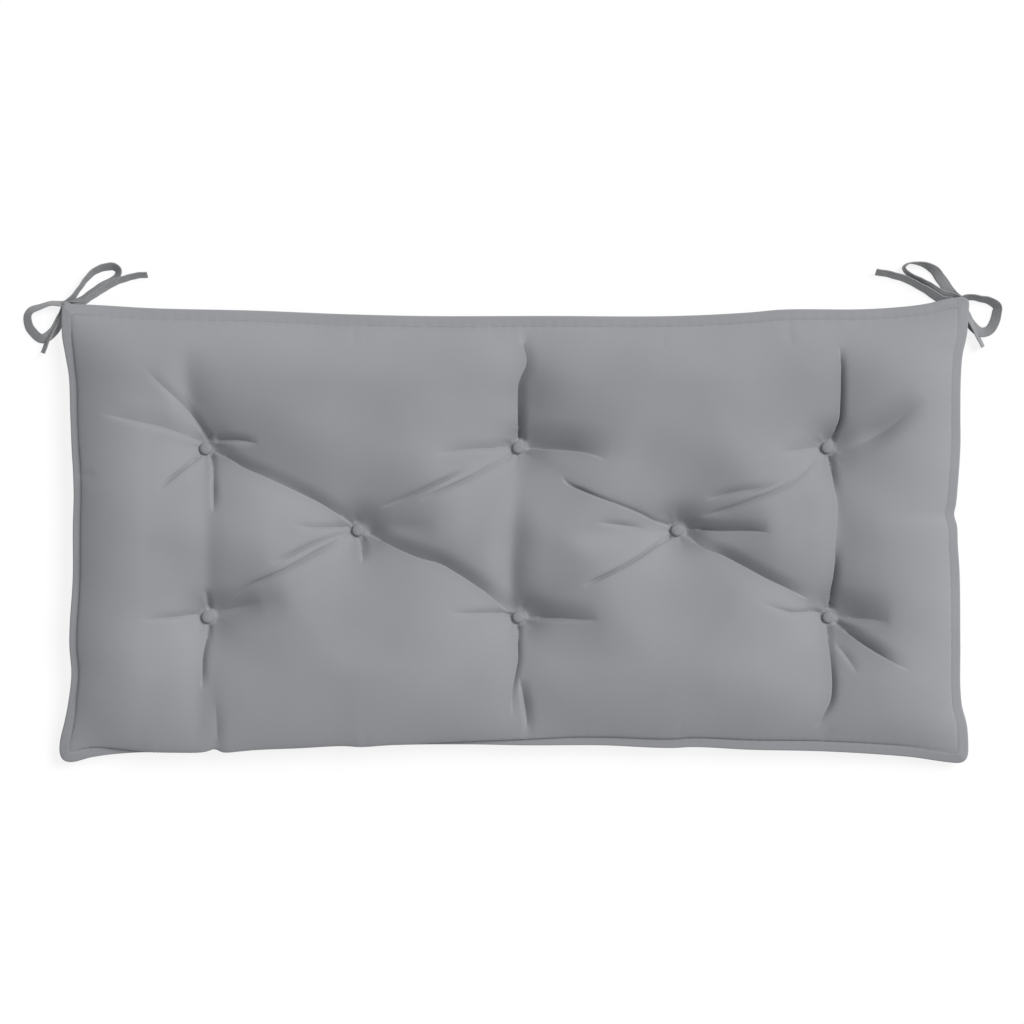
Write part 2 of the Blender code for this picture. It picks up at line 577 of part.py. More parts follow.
def plan_rings(rows):
    return [outline(0.0), outline(RIM_INSET)] + [outline(FLANGE_WIDTH + row) for row in rows]


def top_plan():
    groups = [Group(tuft_points(TUFT_RINGS), 1.0, False)]
    rows = [crease_points(crease) for crease in CREASES]
    groups += [Group(lines[0], CREASE_CLEARANCE, True) for lines in rows]
    for k in range(1, 4):
        groups += [Group(lines[k], CREASE_CLEARANCE, False) for lines in rows if k < len(lines)]
    groups.append(Group(grid_points(TOP_SPACING), TOP_SPACING * 0.62, False))
    return plan_points(plan_rings((0.0,) + TOP_ROWS), groups, TOP_ROWS[-1] + 4.0)


def underside_plan():
    groups = (Group(tuft_points(DIMPLE_RINGS), 1.0, False),
              Group(grid_points(UNDERSIDE_SPACING), UNDERSIDE_SPACING * 0.6, False))
    return plan_points(plan_rings((0.0,) + UNDERSIDE_ROWS), groups, UNDERSIDE_ROWS[-1] + 8.0)


def cover_mesh():
    """The closed cover in millimetres: two faces that share the points of the outline."""
    border = len(outline(0.0))
    points, edges = top_plan()
    faces = triangulate(points, edges, border)
    x, y = points.T
    z = top_height(x, y)
    z[:border] = flange_height(x[:border], y[:border])
    shift_x, shift_y = swell_shift(x, y)
    top = np.stack((x + shift_x, y + shift_y, z), axis=1)

    points, edges = underside_plan()
    after = len(top) - border
    for a, b, c in triangulate(points, edges, border):
        faces.append(tuple(k if k < border else k + after for k in (a, c, b)))
    x, y = points[border:].T
    underside = np.stack((x, y, underside_height(x, y)), axis=1)
    return np.concatenate((top, underside)), faces


# ---------------------------------------------------------------- objects

def make_material(spec):
    material = bpy.data.materials.new(spec.name)
    material.use_nodes = True
    shader = material.node_tree.nodes["Principled BSDF"]
    shader.inputs["Base Color"].default_value = spec.colour
    shader.inputs["Roughness"].default_value = spec.roughness
    shader.inputs["Metallic"].default_value = 0.0
    return material


def add_object(name, mesh, material, location=(0.0, 0.0, 0.0)):
    obj = bpy.data.objects.new(name, mesh)
    bpy.context.scene.collection.objects.link(obj)
    obj.location = location
    if material and not mesh.materials:
        mesh.materials.append(material)
    mesh.shade_smooth()
    mesh.set_sharp_from_angle(angle=math.radians(50))
    return obj


def mesh_from(name, coordinates, faces):
    """A mesh in metres, from points in millimetres, with its normals turned outwards."""
    mesh = bpy.data.meshes.new(name)
    mesh.from_pydata([Vector(point) * MM for point in coordinates], [], faces)
    solid = bmesh.new()
    solid.from_mesh(mesh)
    bmesh.ops.recalc_face_normals(solid, faces=solid.faces)
    solid.to_mesh(mesh)
    solid.free()
    return mesh


def button_mesh(material):
    """A flat-bottomed dome, standing on its own origin."""
    points = []
    for step in BUTTON_PROFILE:
        for k in range(BUTTON_SEGMENTS):
            angle = 2 * math.pi * k / BUTTON_SEGMENTS
            radius = step.radius * BUTTON_RADIUS
            points.append((radius * math.cos(angle), radius * math.sin(angle),
                           step.height * BUTTON_HEIGHT))
    faces = [tuple(range(BUTTON_SEGMENTS))]
    for ring in range(len(BUTTON_PROFILE) - 1):
        for k in range(BUTTON_SEGMENTS):
            low = ring * BUTTON_SEGMENTS
            high = low + BUTTON_SEGMENTS
            after = (k + 1) % BUTTON_SEGMENTS
            faces.append((low + k, low + after, high + after, high + k))
    last = (len(BUTTON_PROFILE) - 1) * BUTTON_SEGMENTS
    points.append((0.0, 0.0, BUTTON_HEIGHT))
    for k in range(BUTTON_SEGMENTS):
        faces.append((last + k, last + (k + 1) % BUTTON_SEGMENTS, len(points) - 1))
    mesh = mesh_from("button", points, faces)
    mesh.materials.append(material)
    return mesh


def tape_mesh(name, run, origin):
    """A tape swept along a run: it stands near its edge and rests on the floor."""
    route, shares = smooth_route(run.route, TAPE_STEP)
    leans = np.radians(smooth_values(shares, (0.0, 0.5, 1.0), run.leans))
    lifts = np.interp(shares, (0.0, 1.0), run.lifts)
    half_width = TAPE_WIDTH / 2
    half_thick = TAPE_THICKNESS / 2
    flat = half_width - TAPE_CHAMFER
    section = ((half_width, 0.0), (flat, half_thick), (-flat, half_thick),
               (-half_width, 0.0), (-flat, -half_thick), (flat, -half_thick))
    steps = np.gradient(route, axis=0)
    points = []
    for (x, y), (dx, dy), lean, lift in zip(route, steps, leans, lifts):
        side = Vector((-dy, dx, 0.0)).normalized()
        across = Vector((0.0, 0.0, 1.0)) * math.cos(lean) + side * math.sin(lean)
        thick = side * math.cos(lean) - Vector((0.0, 0.0, 1.0)) * math.sin(lean)
        low = half_width * abs(math.cos(lean)) + half_thick * abs(math.sin(lean))
        centre = Vector((x - origin[0], y - origin[1], GAP + low + lift))
        points.extend(centre + across * w + thick * t for w, t in section)
    faces = [tuple(range(6)), tuple(range(len(points) - 6, len(points)))]
    for ring in range(len(route) - 1):
        for k in range(6):
            low = ring * 6
            after = (k + 1) % 6
            faces.append((low + k, low + after, low + 6 + after, low + 6 + k))
    return mesh_from(name, points, faces)


def knot_mesh(name):
    mesh = bpy.data.meshes.new(name)
    solid = bmesh.new()
    bmesh.ops.create_uvsphere(solid, u_segments=KNOT_SEGMENTS, v_segments=KNOT_SEGMENTS // 2 + 1,
                              radius=0.5)
    bmesh.ops.scale(solid, vec=Vector(KNOT_SIZE) * MM, verts=solid.verts)
    lift = (GAP + KNOT_SIZE[2] / 2) * MM
    bmesh.ops.translate(solid, vec=(0.0, 0.0, lift), verts=solid.verts)
    solid.to_mesh(mesh)
    solid.free()
    return mesh


def root_run(bow):
    """The sewn end: flat under the flange's corner, then down into the knot."""
    root, knot = np.array(bow.root, float), np.array(bow.knot, float)
    along = (knot - root) / math.hypot(*(knot - root))
    across = np.array((-along[1], along[0])) * TAPE_WIDTH / 2
    lifts = []
    for place in (root, knot):
        # The flange slopes down to its corner, so its lowest place over the tape decides.
        tape = np.array([place + side * across for side in (-1.0, 0.0, 1.0)])
        under = float(np.min(flange_height(tape[:, 0], tape[:, 1]))) - FLANGE_THICKNESS / 2
        lifts.append(under - GAP - TAPE_THICKNESS - ROOT_CLEARANCE)
    return Run((bow.root, bow.knot), (90, 90, 90), (lifts[0], min(lifts[1], lifts[0] - ROOT_DROP)))


def make_bow(bow, centre, material):
    """A knot with its runs of tape joined to it in one solid."""
    location = (Vector((bow.knot[0], bow.knot[1], 0.0)) - Vector((centre[0], centre[1], 0.0))) * MM
    knot = add_object(bow.name, knot_mesh(bow.name), material, location)
    for k, run in enumerate(bow.runs + (root_run(bow),)):
        mesh = tape_mesh(f"{bow.name}_run_{k}", run, bow.knot)
        cutter = add_object(mesh.name, mesh, material, location)
        cutter.hide_render = True
        cutter.display_type = "WIRE"
        joined = knot.modifiers.new(mesh.name, "BOOLEAN")
        joined.operation = "UNION"
        joined.solver = "EXACT"
        joined.use_self = True
        joined.object = cutter
    return knot


def build():
    for obj in list(bpy.data.objects):
        bpy.data.objects.remove(obj, do_unlink=True)
    cover_cloth = make_material(COVER_CLOTH)
    button_cloth = make_material(BUTTON_CLOTH)
    tape_cloth = make_material(TAPE_CLOTH)

    coordinates, faces = cover_mesh()
    centre = (coordinates[:, :2].max(axis=0) + coordinates[:, :2].min(axis=0)) / 2
    coordinates[:, :2] -= centre
    add_object("cushion", mesh_from("cushion", coordinates, faces), cover_cloth)

    mesh = button_mesh(button_cloth)
    for k, tuft in enumerate(TUFTS):
        seat = float(top_height(np.array(float(tuft.x)), np.array(float(tuft.y))))
        location = Vector((tuft.x - centre[0], tuft.y - centre[1], seat + GAP)) * MM
        add_object(f"button_{k + 1}", mesh, button_cloth, location)

    for bow in BOWS:
        make_bow(bow, centre, tape_cloth)


build()
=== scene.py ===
"""A tufted bench cushion on a pale floor, seen straight from above.

The sections follow the cushion as it is put together: its tapes, its filled cover, the
stitching round its flange and its buttons. Lengths in the tables are millimetres in the
pattern's own frame, whose centre the section on the tapes gives.
"""

import math
from collections import namedtuple

import bmesh
import bpy
import numpy as np
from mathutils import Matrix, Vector, kdtree
from mathutils.geometry import delaunay_2d_cdt


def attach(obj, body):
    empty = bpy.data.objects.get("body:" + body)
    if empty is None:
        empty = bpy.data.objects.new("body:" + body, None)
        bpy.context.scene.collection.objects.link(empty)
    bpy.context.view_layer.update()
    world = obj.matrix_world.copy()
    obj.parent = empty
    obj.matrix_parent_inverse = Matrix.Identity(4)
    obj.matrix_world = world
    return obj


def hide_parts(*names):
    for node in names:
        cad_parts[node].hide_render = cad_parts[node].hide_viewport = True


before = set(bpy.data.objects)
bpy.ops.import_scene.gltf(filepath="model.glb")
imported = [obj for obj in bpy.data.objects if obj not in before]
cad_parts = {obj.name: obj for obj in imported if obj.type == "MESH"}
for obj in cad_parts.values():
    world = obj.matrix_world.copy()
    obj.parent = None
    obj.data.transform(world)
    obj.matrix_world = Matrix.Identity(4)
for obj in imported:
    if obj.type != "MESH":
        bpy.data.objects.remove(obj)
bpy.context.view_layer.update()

# ---------------------------------------------------------------- camera
# The photo looks straight down on the cushion's face from a few metres away, so there is
# next to no perspective. The picture is as wide as VIEW_WIDTH at the height of the seam.
VIEW_WIDTH = 1.1277
VIEW_CENTRE = (-0.0026, 0.0200)
SEAM_HEIGHT = 0.027
LENS_MM = 110.0
SENSOR_MM = 36.0


def add_object(name, data):
    """A new object in the scene."""
    thing = bpy.data.objects.new(name, data)
    bpy.context.scene.collection.objects.link(thing)
    return thing


camera = add_object("view_from_above", bpy.data.cameras.new("view_from_above"))
camera.data.lens = LENS_MM
camera.data.sensor_width = SENSOR_MM
camera.location = (*VIEW_CENTRE, SEAM_HEIGHT + VIEW_WIDTH * LENS_MM / SENSOR_MM)
bpy.context.scene.camera = camera

# ---------------------------------------------------------------- tie tapes
# Each rear corner has a self-fabric tape: the cover's polyester folded to 12 mm and
# stitched along its open edge. Both of its halves are sewn in under the flange's corner
# and tied to each other in a bow, which lies on the floor on its edges.
MM = 0.001
PATTERN_CENTRE = (0.461, 1.992)  # the middle of the cushion without its ties
UP = Vector((0.0, 0.0, 1.0))
TAPE_WIDTH = 12.0
TAPE_ROOM = 1.0  # for half its thickness, where it lies flat
TAPE_LIFT = 0.3
TAPE_STEP = 1.6
TAPE_RIPPLE = 0.25  # unevenness of the hand-tied tape,
RIPPLE_LENGTHS = (7.3, 19.0, 3.1)  # and the lengths of its waves, for one radian
ROOT_LIFT = 10.6  # of the sewn end, which lies flat under the flange
ROOT_LEAN = 90.0
ROOT_FALL = 0.7  # under 1, so that it falls most just before the knot
KNOT_WITHIN = 25.0  # the tape first passes its knot before this length,
LOOP_LEAST = 60.0  # and once more beyond this one, behind its loop
TAIL_START = 12.0  # behind the knot, where the tail takes its own lean
KNOT_SIZE = (13.0, 11.0, 11.0)
KNOT_LIFT = 0.4
KNOT_ROUND = 6.0  # mean radius, for the threads of its cloth
KNOT_ROWS = 22
KNOT_COLUMNS = 36
KNOT_RIDGE = 0.05  # height of the turn's ridges, as a share of the size,
RIDGE_WAVES = (7.0, 3.0, 2.0)  # their waves along the three half axes,
KNOT_TAPER = 0.10  # and what the ends of the knot lose
POLE_MERGE = 0.00001  # metres, under which the points at a pole become one
TAPE_GREY = "#999a9c"
TAPE_SHADE = "#8b8c8f"

# The tape's section: places across its width, and half its thickness there. The dip is
# the line of stitches that closes the fold.
Section = namedtuple("Section", "across half_thickness")
TAPE_SECTION = (Section(-6.0, 0.0), Section(-5.7, 0.55), Section(-5.1, 0.85),
                Section(-3.0, 0.9), Section(0.0, 0.85), Section(2.6, 0.9),
                Section(3.7, 0.85), Section(4.3, 0.5), Section(4.9, 0.85),
                Section(5.5, 0.7), Section(6.0, 0.0))

# A half is one tape from its sewn root through the knot, round its loop, through the knot
# again and out as the tail. Leans are degrees away from standing on edge.
Run = namedtuple("Run", "route leans")
Half = namedtuple("Half", "name loop tail")
Bow = namedtuple("Bow", "node knot root halves")
BOWS = (
    Bow("tie_left", (-496, 251), (-489, 242), (
        Half("tape_left_outer",
             Run(((-503, 253), (-513, 253), (-526, 249), (-536, 245), (-539, 238), (-537, 227),
                  (-530, 218), (-523, 214), (-515, 218), (-509, 224), (-500, 240)),
                 (42, 62, 38)),
             Run(((-480, 253), (-466, 262), (-454, 270), (-441, 277), (-429, 281),
                  (-418, 284), (-406, 285)), (26, 30, 26))),
        Half("tape_left_rear",
             Run(((-489, 259), (-481, 270), (-473, 281), (-464, 289), (-454, 293),
                  (-444, 294), (-438, 290), (-440, 283), (-455, 274), (-466, 267), (-480, 257)),
                 (38, 42, 34)),
             Run(((-503, 240), (-510, 227), (-516, 214), (-522, 198)), (28, 32, 28))),
    )),
    Bow("tie_right", (495, 256), (489, 247), (
        Half("tape_right_outer",
             Run(((503, 260), (518, 258), (529, 255), (536, 249), (535, 241),
                  (532, 231), (526, 223), (520, 221), (513, 224), (505, 233), (499, 245)),
                 (42, 62, 38)),
             Run(((475, 257), (465, 263), (450, 272), (434, 280), (418, 285),
                  (401, 288)), (-30, -34, -30))),
        Half("tape_right_rear",
             Run(((487, 262), (479, 273), (473, 281), (465, 291), (454, 296),
                  (443, 298), (436, 297), (432, 293), (437, 286), (448, 279), (460, 272),
                  (473, 264)), (-30, 6, 36)),
             Run(((500, 243), (508, 229), (513, 218), (520, 205)), (-24, -28, -24))),
    )),
)


def smooth_values(at, along, values):
    """Values of a smooth curve through (along, values), with end slopes of its end pieces."""
    along = np.asarray(along, float)
    values = np.asarray(values, float)
    steps = np.diff(along)
    grades = np.diff(values) / steps
    slopes = np.concatenate((grades[:1], 0.5 * (grades[1:] + grades[:-1]), grades[-1:]))
    at = np.clip(np.asarray(at, float), along[0], along[-1])
    i = np.clip(np.searchsorted(along, at, side="right") - 1, 0, len(steps) - 1)
    t = (at - along[i]) / steps[i]
    return ((1 + 2 * t) * (1 - t) ** 2 * values[i] + t * (1 - t) ** 2 * steps[i] * slopes[i]
            + t ** 2 * (3 - 2 * t) * values[i + 1] + t ** 2 * (t - 1) * steps[i] * slopes[i + 1])


def smooth_route(points, spacing):
    """An evenly spaced smooth curve through the points, with its shares along."""
    points = np.asarray(points, float)
    chords = np.linalg.norm(np.diff(points, axis=0), axis=1)
    knots = np.concatenate(([0.0], np.cumsum(chords)))
    count = max(2, round(knots[-1] / spacing))
    at = np.linspace(0.0, knots[-1], count + 1)
    curve = np.stack([smooth_values(at, knots, column) for column in points.T], axis=1)
    return curve, at / knots[-1]


def linear(hex_colour):
    """An sRGB hex colour as linear red, green and blue, with full alpha."""
    shares = [int(hex_colour[k:k + 2], 16) / 255 for k in (1, 3, 5)]
    return [s / 12.92 if s <= 0.04045 else ((s + 0.055) / 1.055) ** 2.4 for s in shares] + [1.0]


def add_node(tree, kind, settings=(), links=()):
    """A shader node, with its settings or socket values, and with outputs, or the first
    outputs of nodes, linked to its sockets."""
    node = tree.nodes.new("ShaderNode" + kind)
    for name, value in dict(settings).items():
        if isinstance(name, str) and hasattr(node, name):
            setattr(node, name, value)
        else:
            node.inputs[name].default_value = value
    for name, source in dict(links).items():
        tree.links.new(getattr(source, "outputs", [source])[0], node.inputs[name])
    return node


def principled(name, finish):
    """A new material with its nodes and its shader, on which finish sets the sockets."""
    material = bpy.data.materials.new(name)
    material.use_nodes = True
    shader = material.node_tree.nodes["Principled BSDF"]
    for socket, value in finish.items():
        shader.inputs[socket].default_value = value
    return material, material.node_tree, shader


WEAVE_PITCH = 0.5  # millimetres from thread to thread
POLYESTER_IOR = 1.57
SPUN_GLOSS = 0.25  # spun yarn scatters most of what it reflects
SLUBS_PER_METRE = 620.0  # each about 1.6 mm wide,
SLUB_STRETCH = 0.06  # and its width as a share of its length
WEAVE_SHARE = 0.03  # height of the weave beside the slubs
CLOUDS_PER_METRE = 9.0  # of the dye, each about a hand wide
THREAD_SHARE = 0.15  # what the threads' own height adds to them
SHADE_UNTIL = 0.4  # the ramp's place below which the cloth has its darker tone


def woven_polyester(name, light, shade, pitch, relief, roughness):
    """Plain-woven spun polyester: matt, with a soft sheen where it turns away. The weave's
    pitch is given in millimetres. From a few metres only the slubs can be told apart."""
    material, tree, shader = principled(name, {
        "Roughness": roughness, "Metallic": 0.0, "IOR": POLYESTER_IOR,
        "Specular IOR Level": SPUN_GLOSS, "Sheen Weight": 0.12, "Sheen Roughness": 0.55})
    cloth = add_node(tree, "UVMap", {"uv_map": "cloth"}).outputs["UV"]
    across = add_node(tree, "SeparateXYZ", (), {0: cloth})
    waves = []
    for axis in ("X", "Y"):
        turned = add_node(tree, "Math", {"operation": "MULTIPLY", 1: math.pi / (pitch * MM)},
                          {0: across.outputs[axis]})
        waves.append(add_node(tree, "Math", {"operation": "SINE"}, {0: turned}))
    weave = add_node(tree, "Math", {"operation": "MULTIPLY"}, dict(enumerate(waves)))
    # slubs: threads that are thicker for a few centimetres, along and across the cloth
    slubs = []
    for stretch in ((1.0, SLUB_STRETCH, 1.0), (SLUB_STRETCH, 1.0, 1.0)):
        drawn = add_node(tree, "Mapping", {"Scale": stretch}, {"Vector": cloth})
        slubs.append(add_node(tree, "TexNoise", {"Scale": SLUBS_PER_METRE, "Detail": 2.0},
                              {"Vector": drawn}))
    slub = add_node(tree, "Math", {"operation": "ADD"}, dict(enumerate(slubs)))
    height = add_node(tree, "Math", {"operation": "MULTIPLY_ADD", 1: WEAVE_SHARE},
                      {0: weave, 2: slub})
    # the dye takes a little unevenly, over a hand's width and from thread to thread
    cloudy = add_node(tree, "TexNoise", {"Scale": CLOUDS_PER_METRE, "Detail": 3.0},
                      {"Vector": cloth})
    uneven = add_node(tree, "Math", {"operation": "MULTIPLY_ADD", 1: THREAD_SHARE},
                      {0: height, 2: cloudy})
    tone = add_node(tree, "ValToRGB", (), {0: uneven})
    tone.color_ramp.elements[0].position = SHADE_UNTIL
    tone.color_ramp.elements[0].color = linear(shade)
    tone.color_ramp.elements[1].color = linear(light)
    tree.links.new(tone.outputs[0], shader.inputs["Base Color"])
    bump = add_node(tree, "Bump", {"Distance": relief * MM}, {"Height": height})
    tree.links.new(bump.outputs[0], shader.inputs["Normal"])
    return material


def add_piece(name, points, faces, cloth, material):
    """A smooth piece of the cushion, from points in millimetres in the pattern's frame,
    with the place of each point on the flat cloth as its UVs in metres."""
    mesh = bpy.data.meshes.new(name)
    placed = np.asarray(points, float) - (*PATTERN_CENTRE, 0.0)
    mesh.from_pydata((placed * MM).tolist(), [], faces)
    layer = mesh.uv_layers.new(name="cloth")
    corners = np.zeros(len(mesh.loops), np.int32)
    mesh.loops.foreach_get("vertex_index", corners)
    layer.data.foreach_set("uv", (np.asarray(cloth, float)[corners] * MM).ravel())
    mesh.materials.append(material)
    mesh.shade_smooth()
    mesh.update()
    piece = add_object(name, mesh)
    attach(piece, "root")
    return piece


def joined_rings(rings, sides, first=0, inward=False):
    """Faces between each ring of points and the next, from the point numbered first."""
    faces = []
    for low in range(first, first + (rings - 1) * sides, sides):
        for k in range(sides):
            after = (k + 1) % sides
            face = (low + k, low + after, low + sides + after, low + sides + k)
            faces.append(face[:1] + face[:0:-1] if inward else face)
    return faces


def tape_line(bow, half):
    """The route of one half and its leans, from the root to the end of the tail."""
    ends = (bow.root, bow.knot)
    route, _ = smooth_route(ends + half.loop.route + (bow.knot,) + half.tail.route, TAPE_STEP)
    lengths = np.concatenate(([0.0], np.cumsum(np.linalg.norm(np.diff(route, axis=0), axis=1))))
    knot_at = np.hypot(*(route - bow.knot).T)
    first = int(np.argmin(np.where(lengths < KNOT_WITHIN, knot_at, np.inf)))
    again = int(np.argmin(np.where(lengths > LOOP_LEAST, knot_at, np.inf)))
    at = np.concatenate(([0.0], np.linspace(lengths[first], lengths[again], 3),
                         np.linspace(lengths[again], lengths[-1], 3) + (TAIL_START, 0.0, 0.0)))
    leans = (ROOT_LEAN,) + half.loop.leans + half.tail.leans
    return route, lengths, smooth_values(lengths, at, leans), lengths[first]


def tape_half(bow, half, material):
    """A flat tape swept along its route, standing near its edge."""
    route, lengths, leans, knot_at = tape_line(bow, half)
    leans = np.radians(leans)
    steps = np.gradient(route, axis=0)
    outline = [(s.across, s.half_thickness) for s in TAPE_SECTION]
    outline += [(s.across, -s.half_thickness) for s in TAPE_SECTION[-2:0:-1]]
    around = np.cumsum([0.0] + [math.dist(a, b) for a, b in zip(outline, outline[1:])])
    long, wide, short = RIPPLE_LENGTHS
    points, cloth, line = [], [], []
    for (x, y), (dx, dy), lean, along in zip(route, steps, leans, lengths):
        side = Vector((-dy, dx, 0.0)).normalized()
        across = UP * math.cos(lean) + side * math.sin(lean)
        thick = side * math.cos(lean) - UP * math.sin(lean)
        low = TAPE_WIDTH / 2 * abs(math.cos(lean)) + TAPE_ROOM * abs(math.sin(lean))
        raised = ROOT_LIFT * max(0.0, 1.0 - along / knot_at) ** ROOT_FALL
        ripple = TAPE_RIPPLE * math.sin(along / long + x / wide) * math.sin(along / short + 1.0)
        centre = Vector((x, y, TAPE_LIFT + low + raised)) + side * ripple
        points += [centre + across * w + thick * t for w, t in outline]
        cloth += [(along, a) for a in around]
        line.append((centre - Vector((*PATTERN_CENTRE, 0.0))) * MM)
    n = len(outline)
    faces = [tuple(range(n))[::-1], tuple(range(len(points) - n, len(points)))]
    faces += joined_rings(len(route), n)
    piece = add_piece(half.name, points, faces, cloth, material)
    return piece, line


def bow_knot(bow, material):
    """The knot: the tape's turn round its own halves, a lump with the turn's ridges."""
    name = bow.node.replace("tie", "knot")
    points, cloth = [], []
    for r in range(KNOT_ROWS + 1):
        tilt = math.pi * r / KNOT_ROWS
        for c in range(KNOT_COLUMNS):
            turn = 2 * math.pi * c / KNOT_COLUMNS
            way = (math.sin(tilt) * math.cos(turn), math.sin(tilt) * math.sin(turn), math.cos(tilt))
            wave = sum(count * share for count, share in zip(RIDGE_WAVES, way))
            ridge = 1.0 + KNOT_RIDGE * math.sin(wave) - KNOT_TAPER * abs(way[0]) ** 3
            lump = [share * size / 2 * ridge for share, size in zip(way, KNOT_SIZE)]
            points.append((bow.knot[0] + lump[0], bow.knot[1] + lump[1],
                           TAPE_LIFT + KNOT_SIZE[2] / 2 + KNOT_LIFT + lump[2]))
            cloth.append((turn * KNOT_ROUND, tilt * KNOT_ROUND))
    faces = joined_rings(KNOT_ROWS + 1, KNOT_COLUMNS, inward=True)
    piece = add_piece(name, points, faces, cloth, material)
    solid = bmesh.new()
    solid.from_mesh(piece.data)
    bmesh.ops.remove_doubles(solid, verts=solid.verts, dist=POLE_MERGE)
    solid.to_mesh(piece.data)
    solid.free()
    return piece


tape_cloth = woven_polyester("folded_woven_polyester_tape", TAPE_GREY, TAPE_SHADE,
                             pitch=WEAVE_PITCH, relief=0.05, roughness=0.85)
for bow in BOWS:
    knot = bow_knot(bow, tape_cloth)
    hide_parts(bow.node)
    for half in bow.halves:
        piece, line = tape_half(bow, half, tape_cloth)
        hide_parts(bow.node)

# ---------------------------------------------------------------- cover
# Two panels of mid-grey woven polyester, sewn face to face, turned and topstitched 12 mm
# inside the edge, which leaves a flat flange all round. The bag is filled with fibre and
# drawn down at eight buttons, so that the slack cloth folds over itself between them.
HALF_LENGTH = 500.0
HALF_DEPTH = 250.0
FLANGE_WIDTH = 12.0
FLANGE_THICKNESS = 3.0
FLANGE_HEIGHT = 29.0
FLANGE_DROOP = 2.6
CORNER_DROP = 12.0
CORNER_POWER = 3.0
RIM_ROUND = 1.4
CROWN = 34.0
CROWN_REACHES = (78.0, 66.0, 68.0, 84.0)  # inside the front, rear, left and right seams
SWELL_REACH = 66.0
DOME_REACH = 230.0
DOME_SHARE = 0.2
UNDERSIDE_REACH = 58.0
ROUNDNESS = 2.1
COVER_GREY = "#98999d"
COVER_SHADE = "#919296"

Side = namedtuple("Side", "out along inset")  # inset is drawn in from out at each place
FRONT = Side(
    out=-HALF_DEPTH,
    along=(-502, -485, -467, -417, -372, -345, -338, -330, -321, -302, -285, -236, -186, -170,
           -137, -54, 12, 95, 177, 194, 260, 342, 409, 442, 475, 502),
    inset=(-6, -4, 1, 6.5, 6.4, 6.8, 8, 10.5, 7, 8, 9.5, 11.6, 14, 13,
           15, 16, 15, 15, 12, 13, 10, 8, 4, 1, -4, -7))
RIGHT = Side(
    out=HALF_LENGTH,
    along=(-256, -235, -213, -190, -124, -47, -14, 8, 19, 30, 52, 97, 129, 173, 195, 217, 260),
    inset=(-2, -2, 0, 6, 8, 9, 11, 12, 15, 13, 11, 8, 8, 7, 5, 0, -4))
REAR = Side(
    out=HALF_DEPTH,
    along=(-500, -467, -401, -285, -186, -104, 28, 177, 260, 293, 392, 442, 460, 480, 503),
    inset=(-2, -1, 3, 6, 10, 12, 12, 12, 8, 5, 4, 0, -3, -8, -10))
LEFT = Side(
    out=-HALF_LENGTH,
    along=(-255, -235, -224, -213, -190, -157, -124, -47, 8, 41, 72, 85, 129, 173, 195, 217, 252),
    inset=(-2, -2, 0, 3, 8, 12, 10, 14, 14, 15, 14, 13, 11, 9, 5, 1, 0))
SIDES = (FRONT, RIGHT, REAR, LEFT)  # counter-clockwise, each after its corner
Corner = namedtuple("Corner", "end side radius")
CORNERS = (Corner(LEFT, FRONT, 15.0), Corner(RIGHT, FRONT, 15.0), Corner(RIGHT, REAR, 10.0),
           Corner(LEFT, REAR, 8.0))
LEAST_RADIUS = 2.5
CORNER_LENGTH = 1.6  # of a rounded corner, for each millimetre of its radius

Swell = namedtuple("Swell", "along amount")
FRONT_SWELL = Swell(along=(-490, -460, -400, -120, -30, 60, 200, 490),
                    amount=(0, 8, 22, 22, 15, 8, 5, 0))
LEFT_SWELL = Swell(along=(-240, -180, 180, 240), amount=(0, 7, 7, 0))
RIGHT_SWELL = Swell(along=(-240, -180, 180, 240), amount=(0, 5, 5, 0))
SWELL_SCALE = 1.55
SWELL_ONSET = 0.25  # steep at the seam,
SWELL_EASE = 1.5  # and gentle where it ends

# The buttons' places; the troughs of the filling run between them.
REAR_LEFT = (-340, 92)
REAR_MIDDLE = (5, 93)
REAR_RIGHT = (346, 93)
MIDDLE_LEFT = (-172, 2)
MIDDLE_RIGHT = (180, 2)
FRONT_LEFT = (-338, -94)
FRONT_MIDDLE = (5, -94)
FRONT_RIGHT = (347, -94)
Tuft = namedtuple("Tuft", "x y depth")
TUFTS = (Tuft(*REAR_LEFT, 40), Tuft(*REAR_MIDDLE, 41), Tuft(*REAR_RIGHT, 41),
         Tuft(*MIDDLE_LEFT, 41), Tuft(*MIDDLE_RIGHT, 41),
         Tuft(*FRONT_LEFT, 40), Tuft(*FRONT_MIDDLE, 41), Tuft(*FRONT_RIGHT, 41))
TUFT_REACH = 170.0
TUFT_POWER = 2.4
GATHER_SHARE = 0.18
GATHER_REACH = 34.0
SEAT_RADIUS = 7.2
SEAT_DEPTH = 6.0  # of a button's seat below the depth of its tuft
SEAT_BLEND = 5.0
Pleats = namedtuple("Pleats", "count height turn")  # round each button
PLEATS = (Pleats(7.0, 1.0, 1.0), Pleats(11.0, 0.6, 2.3))
PLEAT_DEPTH = 0.7
PLEAT_START = 4.0
PLEAT_RISE = 6.0
PLEAT_REACH = 30.0
PLEAT_EASE = 1.5
UNDERSIDE_DIMPLE = 10.0
UNDERSIDE_DIMPLE_REACH = 46.0

